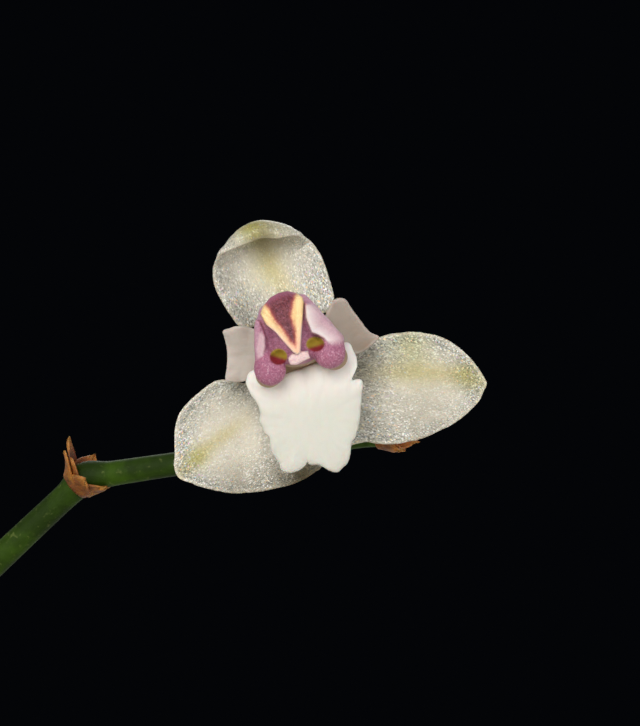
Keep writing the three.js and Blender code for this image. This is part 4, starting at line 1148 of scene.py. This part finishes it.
def stemPath(shoot, count):
    outward, tilt = heading(shoot["heading"]), math.radians(shoot["tilt"])
    along = upward * math.cos(tilt) + outward * math.sin(tilt)
    s = np.linspace(0, 1, count)[:, None]
    bow = outward * stemForm["bow"] * np.sin(np.pi * s)
    return np.array([*shoot["foot"], rhizomeLevel]) + along * shoot["stem"] * s + bow


def leafSheet(shoot, rows, columns, seed):
    # the leaf's points, its thickness, and each point's place along it (0 to 1) and across it (-1 to 1)
    source = np.random.default_rng(seed)
    outward = heading(shoot.get("leafHeading", shoot["heading"]))
    side = unit(np.cross(upward, outward))
    s, t = np.linspace(0, 1, rows)[:, None], np.linspace(-1, 1, columns)[None]
    lean = np.radians(shoot["tilt"] + shoot["arch"] * s**2)
    along = upward * np.cos(lean) + outward * np.sin(lean)
    upper = upward * np.sin(lean) - outward * np.cos(lean)
    middle = stemPath(shoot, 2)[-1] + (np.cumsum(along, axis=0) - along[:1]) * shoot["leaf"] / (rows - 1)
    middle = middle + side * source.uniform(-1, 1) * s**2
    lance = np.maximum(np.sin(np.pi * s**0.72), 0) ** 0.9
    half = np.maximum(0.1, shoot["width"] / 2 * lance + 0.9 * (1 - s))
    foot, beyond = leafForm["fold"]  # how steeply each half rises, in degrees
    fold = np.radians(foot + (beyond - foot) * np.minimum(1, 2.2 * s))
    twist = source.uniform(-0.2, 0.2) * s
    rise = half * np.abs(t) ** 1.35 * np.sin(fold) + twist * half * t
    ripple = np.sin(source.uniform(9, 14) * s + source.uniform(0, 6) + 2 * np.sign(t))
    margin = leafForm["wave"] * lance * np.abs(t) ** 3 * ripple
    sheet = middle[:, None] + side * (half * t * np.cos(fold))[..., None] + upper[:, None] * (rise + margin)[..., None]
    keel = leafForm["keel"] * np.exp(-((t / 0.12) ** 2)) * (1 - 0.7 * s)
    thickness = leafForm["thickness"] * (1 - 0.6 * np.abs(t) ** 3) + keel + leafForm["foot"] * (1 - s) ** 6
    return sheet, thickness, *(np.broadcast_to(share, (rows, columns)).ravel() for share in (s, t))


def leafFinish():
    finish = Finish("leaf", leafLook, Coat_Weight=0.12, Coat_Roughness=0.3, Subsurface_Weight=0.05,
                    Subsurface_Scale=0.6 * mm)
    where = finish.vector("local")
    across, under = finish.mark("across"), finish.mark("under")
    clouds = finish.noise(where, 0.09, 4.0)
    veins = finish.maths("COSINE", across * 60.0)
    middle = 1 - finish.maths("ABSOLUTE", across).ease(0.015, 0.07)
    colour = finish.layers(
        "deep", (clouds.ease(0.3, 0.7), "upper"), (veins.ease(0.3, 1.0) * 0.16, "vein"), (middle * 0.55, "vein"),
        (under * 0.8, "under"), (finish.mark("tip").ease(0.94, 1.0) * 0.75, "tip"),
        (finish.noise(where, 1.6).ease(0.66, 0.78) * 0.25, "vein"))
    height = veins * 0.25 - middle + finish.noise(where, 1.2) * 0.5
    return finish.cover(colour, height, 0.35, 0.15, Roughness=0.34 + clouds * 0.18 + under * 0.2)


def sheathFinish():
    finish = Finish("papery sheath", leafLook, Roughness=0.6, Specular_IOR_Level=0.35)
    where = finish.vector("local")
    streaks = finish.noise(finish.stretch(where, (3.2, 3.2, 0.22)), 1.4)
    colour = finish.layers(
        "sheath", (streaks.ease(0.35, 0.7), "sheathDark"), (finish.mark("fresh") * 0.8, "fresh"),
        (finish.mark("mouth"), "sheathDark"), (finish.noise(where, 2.4, 2.0).ease(0.64, 0.72) * 0.6, "sheathDark"))
    return finish.cover(colour, streaks, 0.6, 0.25)


def makeShoots():
    skins, form = [sheathFinish(), leafFinish()], stemForm
    rings, sides = 160, 24
    s, turn = np.linspace(0, 1, rings)[:, None], roundTurn(sides)
    for number, shoot in enumerate(shoots, 1):
        heap, seed = Heap(), number - 1
        sheaths = form["sheaths"] * s
        slant = form["slant"] * np.cos(turn + 2.4 * np.floor(sheaths) + seed)
        phase = (sheaths + slant * (s < 0.97)) % 1  # runs from 0 to 1 up each sheath
        sleeve = np.where(s < 0.98, form["sheathFoot"] + form["flare"] * phase**1.3, 0.1 * np.cos(turn) ** 2)
        radius = (form["core"] + sleeve) * (1 + 0.03 * np.cos(2 * turn + seed))
        heap.addTube(stemPath(shoot, rings), radius, sides, mouth=np.clip((phase - 0.9) * 8, 0, 0.8),
                     fresh=np.clip(1.2 * s - phase * 0.4, 0, 1))
        sheet, thickness, along, across = leafSheet(shoot, 90, 25, seed)
        points, faces = slab(sheet, thickness)
        count = len(along)
        under = np.repeat([0.0, 1.0], count)
        if points[count // 4, 2] < points[count + count // 4, 2]:
            under = 1 - under
        heap.add(points, faces, kind=1, across=np.tile(across, 2), under=under, tip=np.tile(along, 2))
        heap.piece(f"leafy_stem_{number}_fine", skins, "leaf", f"leafy_stem_{number}")


# Flower stems
flowerStems = [
    {"name": "flower_stem_1",
     "axis": [(17.2, -1.6, 91.8), (19.6, -3.6, 99), (24.4, -3.4, 108.6), (28.6, -6.2, 117.8), (33.4, -6.6, 124.6),
              (36.4, -8, 131.4), (43.3, -10.5, 137.9), (52.7, -13.5, 139.3)],
     "branches": [(5, (31.4, -8.2, 138.4)), (3, (38.6, -11, 113.4)), (2, (20.6, -6.8, 115.6))],
     "blooms": [(0, (52.7, -13.5, 139.3)), (1, (31.4, -8.2, 138.4)), (2, (38.6, -11, 113.4))],
     "buds": [((20.6, -6.8, 116.2), (-0.5, -0.5, 1), 4.2), ((20.4, -7.2, 115.8), (-1, -0.4, 0.4), 3.2),
              ((31.4, -8, 138.8), (0.1, 0.6, 1), 3.2), ((38.8, -10.8, 113.8), (0.9, 0.5, 0.5), 3.4)]},
    {"name": "flower_stem_2",
     "axis": [(-4.2, -9, 97.6), (-6.4, -14.4, 104.6), (-9.6, -18.6, 112.2), (-15.8, -21.6, 118.2),
              (-19.6, -24, 126.8), (-25.6, -25.4, 133.4)],
     "branches": [(2, (-11.4, -25.4, 117.4)), (4, (-16.8, -26.6, 133.2))],
     "blooms": [(3, (-25.6, -25.4, 133.4)), (4, (-11.4, -25.4, 117.4))],
     "buds": [((-16.8, -26.6, 133.6), (0.2, -0.4, 1), 4.4), ((-16.4, -26.8, 133.4), (0.9, -0.6, 0.6), 3.4),
              ((-25.8, -25.2, 133.8), (-0.8, 0.5, 0.9), 3.4)]},
]
stemLook = {
    "green": srgb(52, 78, 10), "deep": srgb(32, 50, 6), "bract": srgb(160, 96, 24), "bractDark": srgb(104, 56, 16),
    "bractPale": srgb(190, 128, 52), "ovary": srgb(168, 178, 104), "cup": srgb(204, 202, 172),
    "cupGrain": srgb(136, 138, 118), "bud": srgb(206, 206, 158), "budTip": srgb(170, 178, 90),
    "budGrain": srgb(240, 238, 220),
}
flowerForm = {  # radii of the stem and the branches, how much and how far a node swells, and the bracts' sizes
    "stem": (0.85, 0.31), "branch": (0.36, 0.3), "swelling": 0.28, "reach": 0.55, "sag": 0.35,
    "nodeBracts": 0.62, "clusterBracts": 0.7,
}


def jointedPath(nodes, count):  # straight joints with a tight bend at each node
    way = unit(np.diff(nodes, axis=0))
    path = [nodes[0]]
    for node, before, after in zip(nodes[1:], way, way[1:]):
        path += [node - 0.9 * before, node + 0.04 * (after - before), node + 0.9 * after]
    return smoothCurve([*path, nodes[-1]], count)


def addBract(heap, foot, way, outward, length, width, seed):
    # one papery scale: it clasps the stem at its foot and tapers to a ragged point
    source = np.random.default_rng(seed)
    side = unit(np.cross(way, outward))
    s, t = np.linspace(0, 1, 12)[:, None], np.linspace(-1, 1, 9)[None]
    half = width / 2 * (1 - s**2.2) ** 0.8 * (0.75 + 0.9 * s * (1 - s)) + 0.03
    cup = np.radians(150 - 90 * s)
    middle = foot + way * length * s + outward * (length * source.uniform(0.1, 0.5) * s**2)
    ragged = 0.08 * length * source.normal(size=t.shape) * s**2
    across = half * np.sin(cup / 2 * t) / np.sin(cup / 2)
    back = half * (1 - np.cos(cup / 2 * t)) * 0.9
    sheet = middle[:, None] + side * across[..., None] - outward * back[..., None] + way * ragged[..., None]
    points, faces = slab(sheet, 0.05)
    heap.add(points, faces, kind=1, along=np.tile(np.repeat(s.ravel(), 9), 2), tone=source.uniform())


def addBracts(heap, centre, axis, size, girth, seed):  # girth is the stem's radius where they clasp it
    source = np.random.default_rng(seed)
    axis = unit(np.asarray(axis, float))
    first = unit(np.cross(axis, [0.3, 0.8, 0.5]))
    second = np.cross(axis, first)
    for k in range(8):
        turn = 2.4 * k + source.uniform(-0.4, 0.4)
        outward = first * math.cos(turn) + second * math.sin(turn)
        spread = source.uniform(0.1, 0.45)
        way = unit(axis * math.cos(spread) + outward * math.sin(spread))
        foot = np.asarray(centre) - axis * size * source.uniform(0.3, 0.7) + outward * (girth + 0.03)
        addBract(heap, foot, way, outward, size * source.uniform(0.9, 1.4), size * 0.3 + girth * 1.5, seed + k)


def addBud(heap, foot, way, length, seed):
    # a plump bud with three seams where its sepals meet, on a short stalk
    s = np.linspace(0, 1, 40)
    path = foot + unit(np.asarray(way, float)) * (length * 1.15 * s)[:, None]
    bulge = 0.3 * length * np.sin(np.pi * ramped(s, 0.22, 1) ** 0.85) ** 0.8
    radius = np.max([0.075 * length * (s < 0.5), bulge, np.full(40, 0.02)], axis=0)
    seams = np.abs(np.sin(1.5 * roundTurn(24) + seed)) ** 0.5
    heap.addTube(path, radius[:, None] * (0.9 + 0.1 * seams), 24, kind=2, along=s)


def addOvary(heap, bloom, cluster):
    matrix, sides, turn = bloomMatrix(bloom), 30, roundTurn(30)
    head, neck, back = moved([(0, 0.1, 0.2), (0, 0.1, -1.6), (0, 0.1, -3.2)], matrix)
    s = np.linspace(0, 1, 80)[:, None]
    swelling = np.sin(np.pi * ramped(s, 0.12, 0.74)) ** 1.5
    radius = 0.3 + 0.1 * (1 - s) + 0.26 * swelling
    radius = radius * (1 + (0.04 + 0.06 * swelling) * np.cos(6 * turn + 3 * s))
    path = smoothCurve([head, neck, back + (cluster - back) * 0.35, cluster], 80)
    heap.addTube(path, radius, sides, kind=3, along=s)
    # the cup in which the blades' bases join, three-lobed and drawn out towards the ovary
    depth, girth = smoothCurve([(-2.3, 0.34), (-1.9, 0.44), (-1.5, 0.6), (-1.1, 0.8), (-0.7, 0.94), (-0.3, 0.96),
                                (0.1, 0.93), (0.45, 0.82), (0.75, 0.5)], 44).T
    lobes = 0.11 * np.sin(np.linspace(0, np.pi, 44))[:, None] * np.abs(np.cos(1.5 * turn + 0.8))
    path = np.column_stack([0 * depth, 0 * depth + 0.05, depth])
    heap.addTube(path, girth[:, None] * (0.96 + lobes), sides, kind=3, matrix=matrix,
                 along=np.clip(0.4 - 0.18 * (depth + 2.3), 0, 1))


def stemFinish():
    finish = Finish("flower stem", stemLook, Roughness=0.6, Specular_IOR_Level=0.12)
    where = finish.vector("local")
    colour = finish.layers("deep", (finish.noise(where, 0.8).ease(0.35, 0.7), "green"),
                           (finish.noise(where, 5.0, 2.0).ease(0.6, 0.75) * 0.14, "ovary"))
    return finish.cover(colour, finish.noise(where, 4.0), 0.4, 0.08)


def bractFinish():
    finish = Finish("papery bract", stemLook, Roughness=0.55, Subsurface_Weight=0.25, Subsurface_Scale=0.3 * mm)
    where = finish.vector("local")
    blotches = finish.noise(where, 3.0) + finish.mark("tone") * 0.3
    colour = finish.layers("bract", (blotches.ease(0.4, 0.8), "bractDark"),
                           (finish.mark("along").ease(0.5, 1.0) * 0.7, "bractPale"))
    return finish.cover(colour, finish.noise(where, 7.0), 0.5, 0.08)


def budFinish():
    finish = Finish("bud", stemLook, Roughness=0.4, Subsurface_Weight=0.2, Subsurface_Scale=0.4 * mm)
    along, (grain,) = finish.mark("along"), finish.cells(finish.vector("local"), 16.0, 1)
    colour = finish.layers("bud", (along.ease(0.75, 1.0), "budTip"), (1 - along.ease(0.12, 0.32), "green"),
                           (grain.ease(0.5, 1.0) * 0.35, "budGrain"))
    return finish.cover(colour, grain, 0.4, 0.03)


def ovaryFinish():
    finish = Finish("ovary", stemLook, Roughness=0.45, Subsurface_Weight=0.2, Subsurface_Scale=0.4 * mm)
    where, along = finish.vector("local"), finish.mark("along")
    (grain,) = finish.cells(where, 22.0, 1)
    colour = finish.layers("cup", (along.ease(0.0, 0.4), "ovary"), (along.ease(0.5, 0.95) * 0.8, "green"),
                           (grain.ease(0.4, 1.0) * (1 - along.ease(0.1, 0.45)) * 0.4, "cupGrain"))
    return finish.cover(colour, finish.noise(where, 6.0), 0.4, 0.06)


def makeFlowerStems():
    skins = [stemFinish(), bractFinish(), budFinish(), ovaryFinish()]
    form = flowerForm
    thin = np.linspace(*form["branch"], 40)
    for number, plan in enumerate(flowerStems):
        heap, nodes = Heap(), np.array(plan["axis"], float)
        count = 60 * len(nodes)
        path = jointedPath(nodes, count)
        away = np.min(np.linalg.norm(path[:, None] - nodes, axis=2), axis=1)
        radius = np.linspace(*form["stem"], count) * (1 + form["swelling"] * np.exp(-((away / form["reach"]) ** 2)))
        heap.addTube(path, radius, 20)
        for start, end in plan["branches"]:
            middle = (nodes[start] + end) / 2 - [0, 0, form["sag"]]
            heap.addTube(smoothCurve([nodes[start], middle, end], 40), thin, 16)
        for k in range(1, len(nodes)):
            girth = radius[np.argmin(np.linalg.norm(path - nodes[k], axis=1))]
            way = nodes[k] - nodes[k - 1]
            addBracts(heap, nodes[k], way, form["nodeBracts"], girth, 300 + 40 * number + 10 * k)
        for k, (start, end) in enumerate(plan["branches"]):
            way = end - nodes[start]
            addBracts(heap, end, way, form["clusterBracts"], thin[-1], 900 + 40 * number + 10 * k)
        for bloom, cluster in plan["blooms"]:
            addOvary(heap, blooms[bloom], np.array(cluster))
        for k, (foot, way, length) in enumerate(plan["buds"]):
            addBud(heap, foot, way, length, k)
        heap.piece(plan["name"] + "_fine", skins, "flower_stem", plan["name"])


makePot()
print("pot done")
makeBark()
makeRhizome()
print("bark and roots done")
makeShoots()
print("leaves done")
makeFlowerStems()
print("flower stems done")


# Floor, light and camera
def makeFloor():  # a disk that fades out towards its edge, in metres
    sides, radii = 96, (0.02, 0.2, 0.7, 1.1, 1.5, 1.9)
    points = np.concatenate([roundRings([(radius, 0) for radius in radii], sides), [[0, 0, 0]]])
    faces = [fanFaces(len(points) - 1, 0, sides), gridFaces(len(radii), sides, True)]
    mesh = bpy.data.meshes.new("floor")
    mesh.from_pydata(points.tolist(), [], [f.tolist() for group in faces for f in group])
    finish = Finish("pale floor", {}, Base_Color=srgb(224, 222, 216), Roughness=0.75)
    where = finish.node("ShaderNodeTexCoord", output=3)
    distance = finish.node("ShaderNodeVectorMath", {"operation": "LENGTH"}, {0: where}, 1)
    finish.feed(Alpha=1 - distance.ease(0.75, 1.85))
    mesh.materials.append(finish.material)
    addObject("floor", mesh)


lights = {  # where each soft disk stands from the front bloom and its width, in metres, its power and its colour
    "keyLight": ((-0.24, -1.06, 0.46), 0.72, 8.5, (1.0, 0.985, 0.96)),
    "rightFill": ((1.0, -0.84, 0.27), 0.66, 4.0, (0.97, 0.985, 1.0)),
    "leftFill": ((-1.2, -0.5, 0.21), 0.64, 3.6, (1.0, 0.99, 0.97)),
    "backLight": ((0.2, 1.5, 1.0), 1.2, 9.6, (1.0, 1.0, 1.0)),
}


def makeLights():
    for name, (offset, width, power, colour) in lights.items():
        lamp = bpy.data.lights.new(name, "AREA")
        lamp.shape = "DISK"
        lamp.size, lamp.energy, lamp.color = width, power, colour
        holder = addObject(name, lamp)
        holder.location = frontBloomAt * mm + offset
        holder.rotation_euler = (-Vector(offset)).to_track_quat("-Z", "Y").to_euler()
        holder.visible_camera = False


worldLook = {"backdrop": (0.0012, 0.0015, 0.0022, 1), "ambient": (0.29, 0.29, 0.296, 1)}


def makeWorld():  # the camera sees the dark backdrop, and the plant gets the soft light from around it
    world = bpy.data.worlds.new("studio")
    bpy.context.scene.world = world
    world.use_nodes = True
    nodes = Nodes(world.node_tree)
    backdrop, output = (nodes.tree.nodes[name] for name in ("Background", "World Output"))
    backdrop.inputs[0].default_value = worldLook["backdrop"]
    ambient = nodes.node("ShaderNodeBackground", {}, {0: worldLook["ambient"]})
    values = {0: nodes.node("ShaderNodeLightPath"), 1: ambient, 2: Wire(nodes, backdrop.outputs[0])}
    blend = nodes.node("ShaderNodeMixShader", {}, values)
    nodes.tree.links.new(blend.socket, output.inputs[0])


cameraDistance = 200.0  # mm in front of the front bloom


def makeCamera():
    lens = bpy.data.cameras.new("camera")
    lens.sensor_width = 36
    lens.lens = lens.sensor_width * cameraDistance / (photoSize[1] * photoUnit)
    lens.clip_start, lens.clip_end = 0.01, 100
    camera = addObject("camera", lens)
    right, up = toBloom(photoSize / 2)
    camera.location = (frontBloomAt + [right, -cameraDistance, up]) * mm
    camera.rotation_euler = (math.pi / 2, 0, 0)
    bpy.context.scene.camera = camera


makeFloor()
makeLights()
makeWorld()
makeCamera()
bpy.context.scene.view_settings.view_transform = "Standard"
print("stage set")
